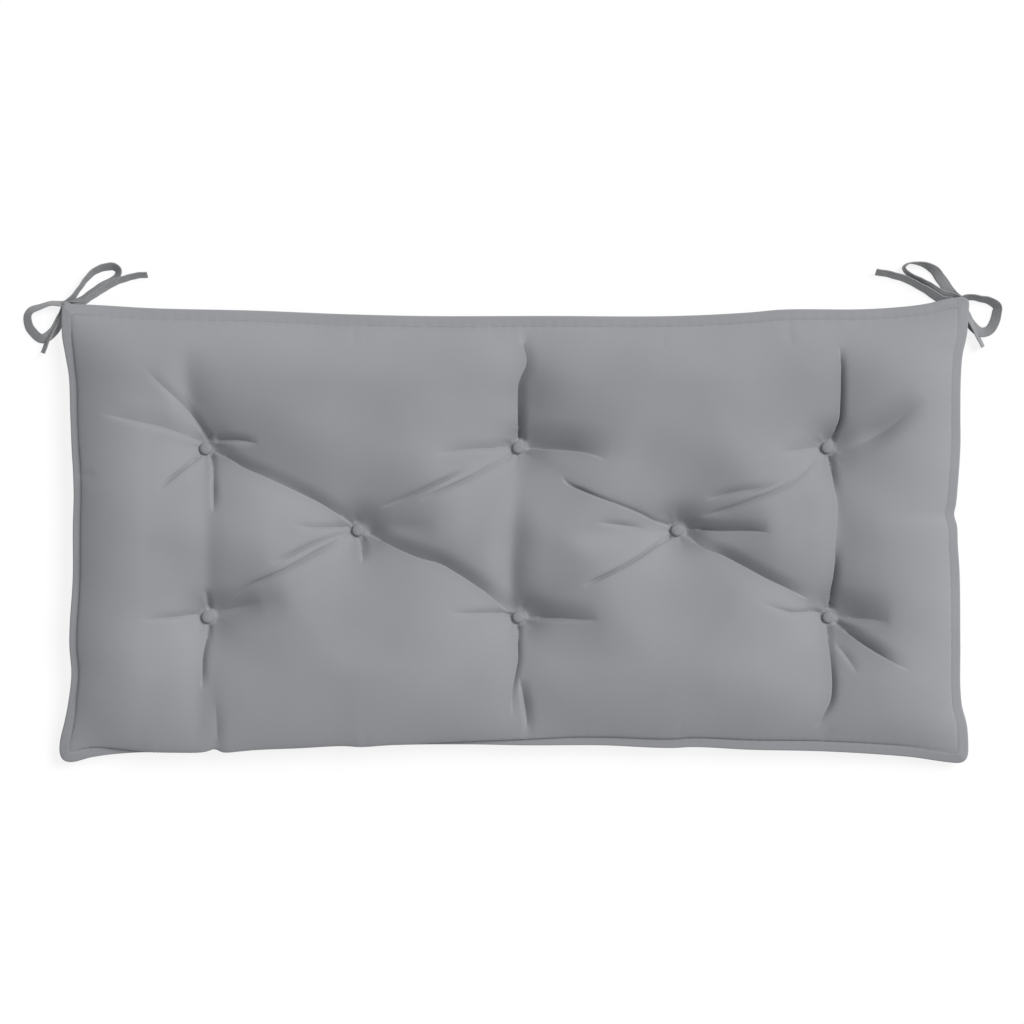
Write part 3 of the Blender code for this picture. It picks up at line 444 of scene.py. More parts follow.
# Troughs of the filling between the tufts, and the folds of the cloth over them. Depths
# are spaced evenly along the route. Left and right are the widths of the slopes on each
# side of it. Where one is 3 mm or less, the cloth on that side is lapped over the fold.
Crease = namedtuple("Crease", "route depths left right")
TROUGHS = [Crease(*row) for row in (
    # out to the rear seam and to the front seam
    ((REAR_LEFT, (-350, 120), (-357, 150), (-357, 205)), (28, 30, 18, 2), 45, 85),
    ((REAR_MIDDLE, (8, 130), (12, 170), (12, 238)), (29, 33, 19, 4), 90, 95),
    ((REAR_RIGHT, (357, 140), (358, 190), (356, 236)), (28, 20, 11, 2), 95, 80),
    ((FRONT_LEFT, (-344, -160), (-345, -236)), (26, 18, 8), 110, 70),
    ((FRONT_MIDDLE, (4, -160), (12, -234)), (27, 18, 9), 100, 115),
    ((FRONT_RIGHT, (346, -160), (338, -234)), (27, 16, 8), 80, 105),
    # along the three columns of buttons
    ((REAR_LEFT, (-336, 0), FRONT_LEFT), (25, 12, 29), 65, 70),
    ((REAR_MIDDLE, (3, 50), (0, 10), (-4, -40), (-2, -75), FRONT_MIDDLE),
     (26, 15, 15, 22, 31, 32), 60, 50),
    ((REAR_RIGHT, (356, 0), FRONT_RIGHT), (28, 15, 31), 80, 70),
    # along the diagonals
    ((REAR_LEFT, (-245, 52), MIDDLE_LEFT), (28, 23, 27), 105, 85),
    ((MIDDLE_LEFT, (-75, -36), FRONT_MIDDLE), (29, 14, 26), 60, 90),
    ((MIDDLE_RIGHT, (262, -40), FRONT_RIGHT), (28, 15, 26), 70, 70),
    ((MIDDLE_RIGHT, (90, 40), REAR_MIDDLE), (27, 5, 24), 65, 45),
    ((MIDDLE_LEFT, (-255, -38), FRONT_LEFT), (25, 6, 28), 75, 60),
    ((MIDDLE_LEFT, (-84, 54), REAR_MIDDLE), (27, 8, 24), 60, 65),
    ((MIDDLE_RIGHT, (92, -44), FRONT_MIDDLE), (25, 6, 28), 75, 60),
    ((MIDDLE_RIGHT, (262, 48), REAR_RIGHT), (27, 8, 24), 60, 60),
    # short ones beside the buttons
    ((REAR_MIDDLE, (50, 92), (100, 86), (140, 80)), (34, 25, 10, 0), 90, 70),
    ((FRONT_RIGHT, (380, -95), (425, -98)), (30, 20, 0), 100, 110),
    ((REAR_RIGHT, (385, 106), (450, 142)), (30, 23, 0), 75, 85),
    ((FRONT_MIDDLE, (45, -96), (110, -98)), (30, 18, 0), 80, 110),
    ((FRONT_LEFT, (-295, -84), (-240, -72)), (30, 22, 0), 65, 80),
    ((MIDDLE_LEFT, (-130, 4), (-75, 4)), (30, 22, 0), 65, 60),
    ((MIDDLE_RIGHT, (225, 3), (290, 2)), (30, 22, 0), 65, 60),
    ((MIDDLE_RIGHT, (120, 0), (40, -6)), (30, 15, 0), 55, 60),
)]
CREASES = [Crease(*row) for row in (
    # round the rear left button
    (((-338, 104), (-346, 117), (-368, 144), (-390, 165), (-405, 181)), (7, 5, 4, 2, 0), 7, 9),
    (((-348, 100), (-368, 109), (-390, 116), (-412, 121), (-450, 130)), (4, 5, 5, 4, 0), 4, 20),
    (((-347, 84), (-359, 73), (-372, 62), (-390, 46)), (4, 4, 4, 0), 4, 4),
    (((-335, 84), (-331, 68), (-330, 51), (-329, 20)), (6, 4, 5, 0), 8, 3.5),
    (((-326, 101), (-302, 101), (-280, 97)), (5, 6, 0), 9, 5),
    (((-329, 88), (-313, 80), (-296, 70), (-277, 62), (-236, 43), (-214, 32), (-199, 23),
     (-186, 14), (-178, 8)), (4, 8, 7, 7, 5, 3), 14, 2.5),
    # round the middle left button
    (((-182, 5), (-203, 5), (-222, 5), (-243, 8)), (4, 4, 3, 0), 4, 8),
    (((-171, -7), (-168, -18), (-165, -35)), (5, 5, 0), 10, 3.5),
    (((-183, -2), (-203, -7), (-225, -15), (-247, -26), (-266, -34)), (1, 3, 4, 4, 0), 4, 6),
    (((-192, -9), (-211, -19), (-230, -30), (-250, -41), (-271, -50), (-291, -59), (-313, -77)),
     (2, 4, 4, 4, 4, 3, 2), 6, 4),
    (((-142, 29), (-114, 40), (-92, 50), (-73, 59), (-52, 70)), (1, 3, 4, 4, 0), 5, 3.5),
    (((-103, 35), (-76, 47), (-48, 60), (-26, 72), (-10, 81), (-1, 87)),
     (0, 3, 4, 3, 3, 2), 3.5, 6),
    (((-158, -3), (-142, -12), (-123, -21), (-103, -29), (-81, -35), (-65, -44), (-48, -55),
     (-32, -66), (-21, -75), (-7, -87)), (5, 8, 9, 8, 7, 5, 3), 17, 2.5),
    # round the rear middle button
    (((5, 101), (4, 123), (4, 151), (5, 165), (9, 174), (13, 183), (13, 194), (10, 203), (10, 211),
     (11, 225)), (12, 12, 11, 10, 5, 6, 3), 2.5, 12),
    (((14, 92), (34, 91), (51, 90), (73, 88), (86, 85), (101, 80)), (3, 9, 9, 5, 0), 34, 3),
    (((-3, 94), (-26, 92), (-48, 91), (-70, 88), (-86, 85)), (5, 5, 4, 3, 0), 4.5, 11),
    # round the middle right button
    (((173, 7), (155, 12), (139, 20), (117, 29), (95, 37), (73, 46), (59, 53), (52, 61)),
     (3, 3, 3, 3, 4, 5, 0), 3, 5),
    (((144, 4), (122, 7), (89, 11)), (0, 3, 0), 5, 7),
    (((172, -6), (155, -15), (139, -26), (117, -39), (95, -50), (76, -59)),
     (4, 4, 4, 4, 5, 0), 4, 4),
    (((188, 3), (222, 1), (243, 1), (262, 1), (278, 0)), (6, 8, 8, 7, 6, 0), 14, 3),
    (((191, -4), (208, -18), (227, -25), (254, -39), (276, -51), (304, -64), (324, -74)),
     (3, 5, 8, 8, 8, 5, 0), 14, 2.5),
    (((337, 85), (318, 66), (302, 53), (282, 43), (260, 35), (232, 25), (205, 17)),
     (1, 2, 3, 4, 4, 4, 0), 6, 5),
    (((289, 56), (269, 48), (249, 45), (229, 41), (209, 35)), (0, 4, 4, 4, 0), 4, 9),
    # round the rear right button
    (((349, 99), (352, 109), (357, 123), (358, 143), (358, 167), (358, 189), (357, 204)),
     (9, 10, 9, 9, 8, 6, 0), 2.5, 8),
    (((355, 90), (372, 94), (390, 101), (409, 112), (428, 128), (449, 145)),
     (2, 6, 10, 9, 6, 0), 34, 16),
    (((347, 83), (349, 66), (351, 52), (354, 35), (354, 13), (352, -9), (352, -25), (351, -40),
     (349, -64), (348, -83)), (9, 7, 2, 1, 1, 3, 8, 9, 9), 9, 2.5),
    (((337, 93), (320, 91), (304, 89), (287, 86)), (4, 4, 3, 0), 4.5, 13),
    # round the front right button
    (((357, -94), (376, -95), (392, -96), (412, -99)), (3, 9, 6, 0), 34, 9),
    (((355, -100), (368, -112), (381, -122), (395, -131), (412, -141), (434, -152)),
     (7, 10, 12, 10, 4, 0), 15, 3),
    (((339, -89), (324, -88), (304, -88), (289, -84), (271, -77)), (4, 4, 4, 2, 0), 6, 6),
    (((345, -106), (346, -124), (348, -146), (349, -168), (347, -185), (340, -199), (330, -216)),
     (5, 4, 5, 7, 8, 7, 0), 8, 3),
    (((351, -119), (365, -137), (377, -156)), (0, 3, 0), 9, 5),
    # round the front middle button
    (((-4, -91), (-26, -89), (-48, -89), (-71, -89)), (5, 4, 3, 0), 4, 7),
    (((14, -94), (34, -95), (53, -95), (73, -96), (91, -96)), (3, 9, 8, 5, 0), 24, 3.5),
    (((4, -102), (4, -124), (4, -141), (1, -157), (-2, -174), (-1, -197)),
     (6, 6, 5, 5, 3, 0), 7, 2.5),
    (((6, -159), (9, -172), (12, -187), (14, -200), (14, -213), (14, -225)),
     (0, 5, 9, 9, 7, 4), 11, 4),
    # round the front left button
    (((-337, -87), (-338, -75), (-339, -62)), (7, 5, 0), 4, 9),
    (((-330, -88), (-307, -84), (-277, -75)), (3, 6, 0), 24, 26),
    (((-348, -91), (-368, -93), (-390, -95), (-409, -97)), (4, 5, 3, 0), 4.5, 9),
    (((-337, -102), (-339, -119), (-342, -139), (-342, -154), (-342, -172)),
     (6, 5, 6, 5, 0), 8, 3),
    # puckers where the crown meets the seam
    (((-328, -234), (-326, -205), (-327, -180)), (9, 5, 0), 6, 12),
    (((348, -219), (339, -228), (328, -231)), (5, 12, 4), 3.5, 8),
    (((-175, 234), (-174, 220), (-176, 200)), (7, 3, 0), 6, 12),
    (((164, 232), (165, 220), (163, 200)), (7, 3, 0), 6, 12),
    (((304, 236), (303, 222), (305, 203)), (5, 3, 0), 6, 12),
    (((-164, -235), (-163, -220), (-165, -203)), (7, 4, 0), 6, 10),
    (((183, -236), (182, -221), (184, -203)), (9, 5, 0), 8, 8),
    (((-483, 62), (-470, 63), (-454, 66)), (14, 12, 0), 4, 12),
)]
LAPPED = 3.0  # a slope of at most this width is lapped over its fold
LAP = 2.7  # how far the lip of a lapped fold reaches out
LAP_REACH = 9.0
LAP_DEPTH = 5.0  # a fold of this depth has the full lap,
LAP_OPENS = 0.1  # apart from these shares of its length,
LAP_CLOSES = 0.2  # at its start and at its end
CREASE_EASE = 1.5
TROUGH_EASE = 2.5
TROUGH_ROUND = 7.0  # the filling keeps the bottoms of the troughs round
HOLLOW_BLEND = 3.0  # where hollows meet they add up less than fully,
HOLLOW_LIMIT = 50.0  # and never beyond the thickness of the filling
LIMIT_SHARPNESS = 8

# Small relief: the groove of the stitches, the cloth that they pull up on the flange and
# inside the seam, and the flange's own waves. Lengths of waves are for one radian.
GROOVE_DEPTH = 0.6
GROOVE_WIDTH = 1.3
PUCKER_DEPTH = 0.16
PUCKER_FADE = 8.0
PUCKER_END = 22.0  # from the edge of the flange
GATHER_DEPTH = 0.45
GATHER_PLACE = 7.0  # inside the seam, and as wide
GATHER_SWING = 0.4
GATHER_SPELL = 47.0
Wave = namedtuple("Wave", "height x y phase")
FLANGE_WAVES = (Wave(0.5, 31.0, 13.0, 0.0), Wave(0.4, 17.0, -23.0, 1.3))
Pull = namedtuple("Pull", "length drift spell")
PUCKER_PULL = Pull(1.9, 2.0, 37.0)
GATHER_PULL = Pull(3.4, 2.2, 29.0)

# Spacings of the mesh, and its rows inside the edge of the flange and beside the folds.
EDGE_SPACING = 4.0
FINE_UNTIL = 14.0  # the underside's rings beyond it have twice this spacing
TOP_INSETS = (0.0, 0.35, 0.9, 1.6, 3.0, 5.5, 8.2, 10.2, 11.2, 12.0, 12.6, 13.6, 15.2, 17.4,
              20.2, 23.6, 27.6)
UNDERSIDE_INSETS = (0.0, 0.35, 0.9, 1.6, 3.0, 5.5, 8.2, 10.2, 11.2, 12.0, 13.0, 16.0, 21.0, 29.0)
FOLD_ROWS = (0.55, 1.2, 2.0, 2.3, 2.7, 3.4, 4.8, 7.0, 10.0, 14.0)
FOLD_SPACING = 3.2
LEAST_ROWS = 3.0  # every fold has the rows within this width
TOP_SPACING = 3.9
UNDERSIDE_SPACING = 14.0
LINE_SPACING = 5.0
Rings = namedtuple("Rings", "spacing reach clearance")  # round each button
TOP_RINGS = Rings(2.6, 24.0, 0.5)
UNDERSIDE_RINGS = Rings(8.0, 44.0, 3.0)
RING_SHARE = 0.9  # points on a ring stand a little closer than its spacing
FOLD_CLEARANCE = 1.0  # of points from those laid down before them,
ROW_CLEARANCE = 0.22
GRID_CLEARANCE = 0.6  # here as a share of the grid's spacing
TOP_GAP = 2.0  # between the innermost ring of the edge and other points
UNDERSIDE_GAP = 5.0
SAME_POINT = 1e-4
ON_LINE = 1e-9  # stands for no distance, where one divides
DEEP_INSIDE = 4 * FLANGE_WIDTH  # stands for any place away from the flange


def clamped(value):
    """The value, held between 0 and 1."""
    return np.clip(value, 0.0, 1.0)


def edge(side, at, inset):
    """Where one side of the outline lies at places along it, drawn in by inset."""
    inward = -math.copysign(1.0, side.out)
    return side.out + inward * smooth_values(at, side.along, side.inset) + inward * inset


def corner_point(corner, inset):
    """Where the end and the long side would meet if the corner weren't rounded."""
    y = corner.side.out
    for _ in range(4):
        x = float(edge(corner.end, y, inset))
        y = float(edge(corner.side, x, inset))
    return np.array((x, y))


def outline(inset, spacing):
    """The outline as a counter-clockwise ring of points, drawn in by inset."""
    sharp = [corner_point(corner, inset) for corner in CORNERS]
    radii = [max(corner.radius - inset, LEAST_RADIUS) for corner in CORNERS]
    runs = []
    for k, side in enumerate(SIDES):
        after, axis = (k + 1) % 4, k % 2
        sign = 1.0 if sharp[after][axis] > sharp[k][axis] else -1.0
        first = sharp[k][axis] + sign * radii[k]
        last = sharp[after][axis] - sign * radii[after]
        run = np.linspace(first, last, round(abs(last - first) / spacing) + 1)
        across = edge(side, run, inset)
        runs.append(np.stack((across, run) if axis else (run, across), axis=1))
    ring = []
    for k, run in enumerate(runs):
        ring.extend(run)
        after = (k + 1) % 4
        start, corner, end = run[-1], sharp[after], runs[after][0]
        count = max(2, round(CORNER_LENGTH * radii[after] / spacing))
        for t in np.linspace(0.0, 1.0, count + 2)[1:-1]:
            ring.append((1 - t) ** 2 * start + 2 * t * (1 - t) * corner + t ** 2 * end)
    return np.array(ring)


def seam_distances(x, y):
    """Distances inside the seam, from its front, rear, left and right sides."""
    return (y - edge(FRONT, x, FLANGE_WIDTH), edge(REAR, x, FLANGE_WIDTH) - y,
            x - edge(LEFT, y, FLANGE_WIDTH), edge(RIGHT, y, FLANGE_WIDTH) - x)


def slope_in(distance, reach):
    """From 0 at the seam to 1 at the reach, where it is level."""
    return 1.0 - (1.0 - clamped(distance / reach)) ** 2


def crown_rise(x, y):
    """The share of the crown's height at each place: a slope along the seam and a low dome."""
    product = np.ones_like(x)
    for distance, reach in zip(seam_distances(x, y), CROWN_REACHES):
        product = product * ((1.0 - DOME_SHARE) * slope_in(distance, reach)
                             + DOME_SHARE * slope_in(distance, DOME_REACH))
    return product


def underside_rise(x, y):
    """0 where the underside lies flat, and 1 at the seam, where it is steepest."""
    product = np.ones_like(x)
    for distance in seam_distances(x, y):
        share = clamped(distance / UNDERSIDE_REACH)
        product = product * (1.0 - (1.0 - share) ** ROUNDNESS) ** (1.0 / ROUNDNESS)
    return 1.0 - product


def flange_height(x, y):
    """The middle of the flange's thickness, which drops towards the corners and waves."""
    share = clamped(np.abs(x * y) / (HALF_LENGTH * HALF_DEPTH))
    waves = sum(wave.height * np.sin(x / wave.x + y / wave.y + wave.phase)
                for wave in FLANGE_WAVES)
    inside = np.min(seam_distances(x, y), axis=0)
    droop = FLANGE_DROOP * clamped(-inside / FLANGE_WIDTH)
    return FLANGE_HEIGHT - CORNER_DROP * share ** CORNER_POWER + waves * (1.0 - share) - droop


def uneven_wave(along, pull):
    """A wave whose length drifts, as gathers along a seam do."""
    return np.sin(along / pull.length + pull.drift * np.sin(along / pull.spell))


def half_thickness(x, y, margin):
    """Half the flange's thickness, with its rounded edge and the groove of the stitches."""
    rim = np.sqrt(1.0 - clamped(1.0 - margin / RIM_ROUND) ** 2)
    groove = GROOVE_DEPTH * np.exp(-((margin - FLANGE_WIDTH) / GROOVE_WIDTH) ** 2)
    along = np.where(np.abs(x) > HALF_LENGTH - 3 * FLANGE_WIDTH, y, x)
    pucker = PUCKER_DEPTH * uneven_wave(along, PUCKER_PULL)
    pucker = pucker * clamped(margin / PUCKER_FADE)
    pucker = pucker * clamped((PUCKER_END - margin) / PUCKER_FADE)
    return rim * (FLANGE_THICKNESS / 2 + pucker) - groove


def crease_profile(distance, width):
    """A sharp bottom under an even slope that eases out at its top."""
    return (1.0 - clamped(distance / width)) ** CREASE_EASE


def trough_profile(distance, width):
    """A round bottom under a slope that eases out slowly."""
    rounded = np.hypot(distance, TROUGH_ROUND) - TROUGH_ROUND
    return (1.0 - clamped(rounded / width)) ** TROUGH_EASE


def near_crease(crease, x, y, reach):
    """For the points within reach of a route: which they are, how far they lie from it, the
    sine of the side they lie on (1 left, -1 right), their share along it, and its left side."""
    line, shares = smooth_route(crease.route, LINE_SPACING)
    (low_x, low_y), (high_x, high_y) = line.min(axis=0) - reach, line.max(axis=0) + reach
    at = np.flatnonzero((x > low_x) & (x < high_x) & (y > low_y) & (y < high_y))
    px, py = x[at], y[at]
    nearest = np.full(px.shape, np.inf)
    lean, along = np.zeros_like(px), np.zeros_like(px)
    left = np.zeros((len(px), 2))
    for a, b, share_a, share_b in zip(line[:-1], line[1:], shares[:-1], shares[1:]):
        step = b - a
        t = clamped(((px - a[0]) * step[0] + (py - a[1]) * step[1]) / (step @ step))
        off_x, off_y = px - a[0] - t * step[0], py - a[1] - t * step[1]
        distance = np.hypot(off_x, off_y) + ON_LINE
        closer = distance < nearest
        size = math.hypot(*step)
        turn = (step[0] * off_y - step[1] * off_x) / (distance * size)
        nearest = np.where(closer, distance, nearest)
        lean = np.where(closer, turn, lean)
        along = np.where(closer, share_a + t * (share_b - share_a), along)
        left[closer] = (-step[1] / size, step[0] / size)
    return at, nearest, lean, along, left


def depth_along(crease, along):
    """The crease's depth at shares of its length."""
    stations = np.linspace(0.0, 1.0, len(crease.depths))
    return np.maximum(smooth_values(along, stations, crease.depths), 0.0)


def crease_sink(crease, profile, x, y):
    """How far one crease or trough lowers the top face."""
    reach = max(crease.left, crease.right) + TROUGH_ROUND
    at, nearest, lean, along, _ = near_crease(crease, x, y, reach)
    width = (crease.left + crease.right + lean * (crease.left - crease.right)) / 2
    sink = np.zeros_like(x)
    sink[at] = depth_along(crease, along) * profile(nearest, width)
    return sink


def crease_lap(crease, x, y):
    """How far the cloth on the steep side of a fold is carried over it."""
    shift = np.zeros((len(x), 2))
    narrow, side = min((crease.left, 1.0), (crease.right, -1.0))
    if narrow > LAPPED:
        return shift
    at, nearest, lean, along, left = near_crease(crease, x, y, narrow + LAP_REACH)
    depth = depth_along(crease, along)
    climb = clamped(nearest / narrow)
    fade = clamped(1.0 - (nearest - narrow) / LAP_REACH) ** 2
    ends = clamped(along / LAP_OPENS) * clamped((1.0 - along) / LAP_CLOSES)
    amount = LAP * clamped(depth / LAP_DEPTH) * climb * fade * ends
    amount = amount * clamped(side * lean)
    shift[at] = -side * left * amount[:, None]
    return shift


def tuft_turn(tuft, x, y):
    """Distances and directions from a tuft."""
    return np.hypot(x - tuft.x, y - tuft.y), np.arctan2(y - tuft.y, x - tuft.x)


def top_sink(x, y):
    """How far the tufts, troughs and folds lower the top face, with the buttons' seats."""
    hollows = np.zeros_like(x)
    for tuft in TUFTS:
        radius, _ = tuft_turn(tuft, x, y)
        away = np.maximum(radius - SEAT_RADIUS, 0.0)
        broad = clamped(1.0 - away / TUFT_REACH) ** TUFT_POWER
        steep = clamped(1.0 - away / GATHER_REACH) ** 2
        depth = tuft.depth * ((1.0 - GATHER_SHARE) * broad + GATHER_SHARE * steep)
        hollows = hollows + depth ** HOLLOW_BLEND
    for trough in TROUGHS:
        hollows = hollows + crease_sink(trough, trough_profile, x, y) ** HOLLOW_BLEND
    folds = np.zeros_like(x)
    for crease in CREASES:
        folds = folds + crease_sink(crease, crease_profile, x, y) ** 3
    sink = hollows ** (1.0 / HOLLOW_BLEND)
    sink = sink / (1.0 + (sink / HOLLOW_LIMIT) ** LIMIT_SHARPNESS) ** (1.0 / LIMIT_SHARPNESS)
    sink = sink + np.cbrt(folds)
    for k, tuft in enumerate(TUFTS):
        radius, turn = tuft_turn(tuft, x, y)
        t = clamped((radius - SEAT_RADIUS) / SEAT_BLEND)
        away = t * t * (3.0 - 2.0 * t)
        sink = away * sink + (1.0 - away) * (tuft.depth + SEAT_DEPTH)
        pleats = sum(p.height * np.sin(p.count * turn + p.turn * k) for p in PLEATS)
        band = clamped((radius - PLEAT_START) / PLEAT_RISE)
        band = band * clamped(1.0 - radius / PLEAT_REACH) ** PLEAT_EASE
        sink = sink + PLEAT_DEPTH * pleats * band
    return sink


def seam_puckers(x, y):
    """Small gathers along the seam, where the stitches draw up the slack of the crown."""
    front, rear, left, right = seam_distances(x, y)
    inside = np.min((front, rear, left, right), axis=0)
    along = np.where(np.minimum(front, rear) < np.minimum(left, right), x, y)
    swing = 1.0 - GATHER_SWING + GATHER_SWING * np.sin(along / GATHER_SPELL)
    waves = uneven_wave(along, GATHER_PULL) * swing
    return GATHER_DEPTH * waves * np.exp(-((inside - GATHER_PLACE) / GATHER_PLACE) ** 2)


def top_height(x, y, margin):
    """The height of the top face, flange and crown."""
    base = flange_height(x, y) + half_thickness(x, y, margin)
    filled = crown_rise(x, y) * (CROWN - top_sink(x, y) + seam_puckers(x, y))
    return base + filled


def underside_height(x, y, margin):
    """The height of the lower face, 0 where it lies on the floor between its dimples."""
    base = flange_height(x, y) - half_thickness(x, y, margin)
    dimples = np.zeros_like(x)
    for tuft in TUFTS:
        radius, _ = tuft_turn(tuft, x, y)
        dimples = dimples + clamped(1.0 - radius / UNDERSIDE_DIMPLE_REACH) ** 2
    return base * underside_rise(x, y) + UNDERSIDE_DIMPLE * dimples


def swell_shift(x, y):
    """How far the crown leans out over the flange at the front and the two ends."""
    front, _, left, right = seam_distances(x, y)

    def bulge(distance, rows, at):
        share = clamped(distance / SWELL_REACH)
        lean = SWELL_SCALE * np.interp(at, *rows)
        return lean * share ** SWELL_ONSET * (1.0 - share) ** SWELL_EASE

    ends = slope_in(left, SWELL_REACH) * slope_in(right, SWELL_REACH)
    shift_x = bulge(right, RIGHT_SWELL, y) - bulge(left, LEFT_SWELL, y)
    shift_y = -bulge(front, FRONT_SWELL, x) * ends
    return np.stack((shift_x * slope_in(front, SWELL_REACH), shift_y), axis=1)


Group = namedtuple("Group", "points clearance is_line")  # of the plan, laid down together


def fold_rows(crease):
    """Lines of points along the fold and beside it, over the width of its slopes."""
    line, _ = smooth_route(crease.route, FOLD_SPACING)
    steps = np.gradient(line, axis=0)
    normals = np.stack((-steps[:, 1], steps[:, 0]), axis=1)
    normals /= np.linalg.norm(normals, axis=1)[:, None]
    rows = [line]
    for side, width in ((1.0, crease.left), (-1.0, crease.right)):
        reach = width + (LAP_REACH if width <= LAPPED else 0.0)
        rows += [line + side * normals * row for row in FOLD_ROWS if row <= max(reach, LEAST_ROWS)]
    return rows


def plan_grid(spacing):
    """A triangular grid over the whole plan."""
    rows = []
    pitch = spacing * math.sqrt(3.0) / 2
    for k, y in enumerate(np.arange(-HALF_DEPTH, HALF_DEPTH, pitch)):
        x = np.arange(-HALF_LENGTH, HALF_LENGTH, spacing) + (k % 2) * spacing / 2
        rows.append(np.stack((x, np.full_like(x, y)), axis=1))
    return Group(np.concatenate(rows), spacing * GRID_CLEARANCE, False)


def tuft_rings(rings):
    """Rings of points round each tuft, and the tuft itself."""
    points = []
    for tuft in TUFTS:
        points.append(((tuft.x, tuft.y),))
        for radius in np.arange(rings.spacing, rings.reach, rings.spacing):
            turns = np.arange(0.0, 2 * math.pi, rings.spacing / radius * RING_SHARE) + radius
            points.append(np.stack((tuft.x + radius * np.cos(turns),
                                    tuft.y + radius * np.sin(turns)), axis=1))
    return Group(np.concatenate(points), rings.clearance, False)


def plan_points(rings, groups, margin):
    """Rings first, then each group's points that keep clear of those before, with the edges
    of the outer ring and of the groups that are lines."""
    kept = [tuple(point) for ring in rings for point in ring]
    edges = [(k, (k + 1) % len(rings[0])) for k in range(len(rings[0]))]
    for group in groups:
        known = kdtree.KDTree(len(kept))
        for k, point in enumerate(kept):
            known.insert((*point, 0.0), k)
        known.balance()
        inside = np.min(seam_distances(*np.asarray(group.points).T), axis=0) > margin
        before = None
        for point in np.asarray(group.points)[inside]:
            if known.find((*point, 0.0))[2] < group.clearance:
                before = None
                continue
            kept.append(tuple(point))
            if group.is_line and before is not None:
                edges.append((before, len(kept) - 1))
            before = len(kept) - 1
    return np.array(kept), edges


def triangulate(points, edges, border):
    """Triangles that keep the edges. The first points, as many as border, are the outline."""
    found = delaunay_2d_cdt([Vector(point) for point in points], edges, [], 0, SAME_POINT, True)
    sources = [ids[0] for ids in found[3]]
    triangles = []
    for face in found[2]:
        a, b, c = (sources[k] for k in face)
        low = min(a, b, c)
        while a != low:
            a, b, c = b, c, a
        if max(b, c) >= border or b < c:  # a pocket outside the outline runs backwards
            triangles.append((a, b, c))
    return triangles


def ring_margins(insets, rings, count):
    """How far inside the flange's edge each point of the rings lies; deep inside for the rest."""
    margins = np.full(count, DEEP_INSIDE)
    first = 0
    for inset, ring in zip(insets, rings):
        margins[first:first + len(ring)] = inset
        first += len(ring)
    return margins


def planned(insets, rings, groups, gap):
    """The plan of one face: its points, their distances inside the edge and its triangles."""
    points, edges = plan_points(rings, groups, insets[-1] - FLANGE_WIDTH + gap)
    margins = ring_margins(insets, rings, len(points))
    return points, margins, triangulate(points, edges, len(rings[0]))


def top_face():
    """Places, plan and triangles of the cover's top, and how many points its outline has."""
    rings = [outline(inset, EDGE_SPACING) for inset in TOP_INSETS]
    folds = [fold_rows(crease) for crease in CREASES]
    beside = [row for rows in folds for row in rows[1:]]
    groups = [tuft_rings(TOP_RINGS)]
    groups += [Group(rows[0], FOLD_CLEARANCE, True) for rows in folds]
    groups += [Group(np.concatenate(beside), ROW_CLEARANCE, False), plan_grid(TOP_SPACING)]
    plan, margins, faces = planned(TOP_INSETS, rings, groups, TOP_GAP)
    x, y = plan.T
    shift = swell_shift(x, y)
    for crease in CREASES:
        shift = shift + crease_lap(crease, x, y)
    placed = np.column_stack((x + shift[:, 0], y + shift[:, 1], top_height(x, y, margins)))
    return placed, plan, faces, len(rings[0])


def underside():
    """Places, plan and triangles of the cover's underside, whose outline is the top's."""
    rings = [outline(inset, EDGE_SPACING if inset < FINE_UNTIL else EDGE_SPACING * 2)
             for inset in UNDERSIDE_INSETS]
    groups = [tuft_rings(UNDERSIDE_RINGS), plan_grid(UNDERSIDE_SPACING)]
    plan, margins, faces = planned(UNDERSIDE_INSETS, rings, groups, UNDERSIDE_GAP)
    x, y = plan.T
    return np.column_stack((x, y, underside_height(x, y, margins))), plan, faces


def cover():
    """The whole cover, in which both faces share the points of the outline."""
    top, top_plan, faces, border = top_face()
    below, below_plan, below_faces = underside()
    after = len(top) - border
    faces = faces + [tuple(k if k < border else k + after for k in (a, c, b))
                     for a, b, c in below_faces]
    points = np.concatenate((top, below[border:]))
    plan = np.concatenate((top_plan, below_plan[border:]))
    return points, faces, plan


cover_cloth = woven_polyester("cover_woven_polyester", COVER_GREY, COVER_SHADE,
                              pitch=WEAVE_PITCH, relief=0.02, roughness=0.9)
points, faces, plan = cover()
cushion = add_piece("cushion_cover", points, faces, plan, cover_cloth)
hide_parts("cushion")

# ---------------------------------------------------------------- topstitching
# One row of lockstitch in matching polyester thread runs round the cushion through both
# panels, where the flange meets the crown. It shows on the top and on the underside.
STITCH_PITCH = 3.6
STITCH_LENGTH = 2.9
STITCH_INSET = FLANGE_WIDTH - 0.3  # just outside the crown's foot
SEAM_STEP = 0.6  # between the points that the row follows,
SEAM_AHEAD = 0.5  # and how far ahead a stitch looks for its direction
THREAD_RADIUS = 0.3
THREAD_SIDES = 5
THREAD_LIFT = 0.5  # of its middle above the cloth, as a share of its radius
THREAD_GREY = "#919296"
TWIST_SCALE = 260.0  # a turn in about 2.4 mm, as the real twist is too fine to show
# how dark the painted shade in the grooves of the twist is
TWIST_GROOVE_SHADE = 0.85
StitchRing = namedtuple("StitchRing", "along radius depth")  # shares of the sizes above
STITCH_RINGS = (StitchRing(-0.5, 0.45, -1.4), StitchRing(-0.32, 1.0, 0.0),
                StitchRing(0.32, 1.0, 0.0), StitchRing(0.5, 0.45, -1.4))


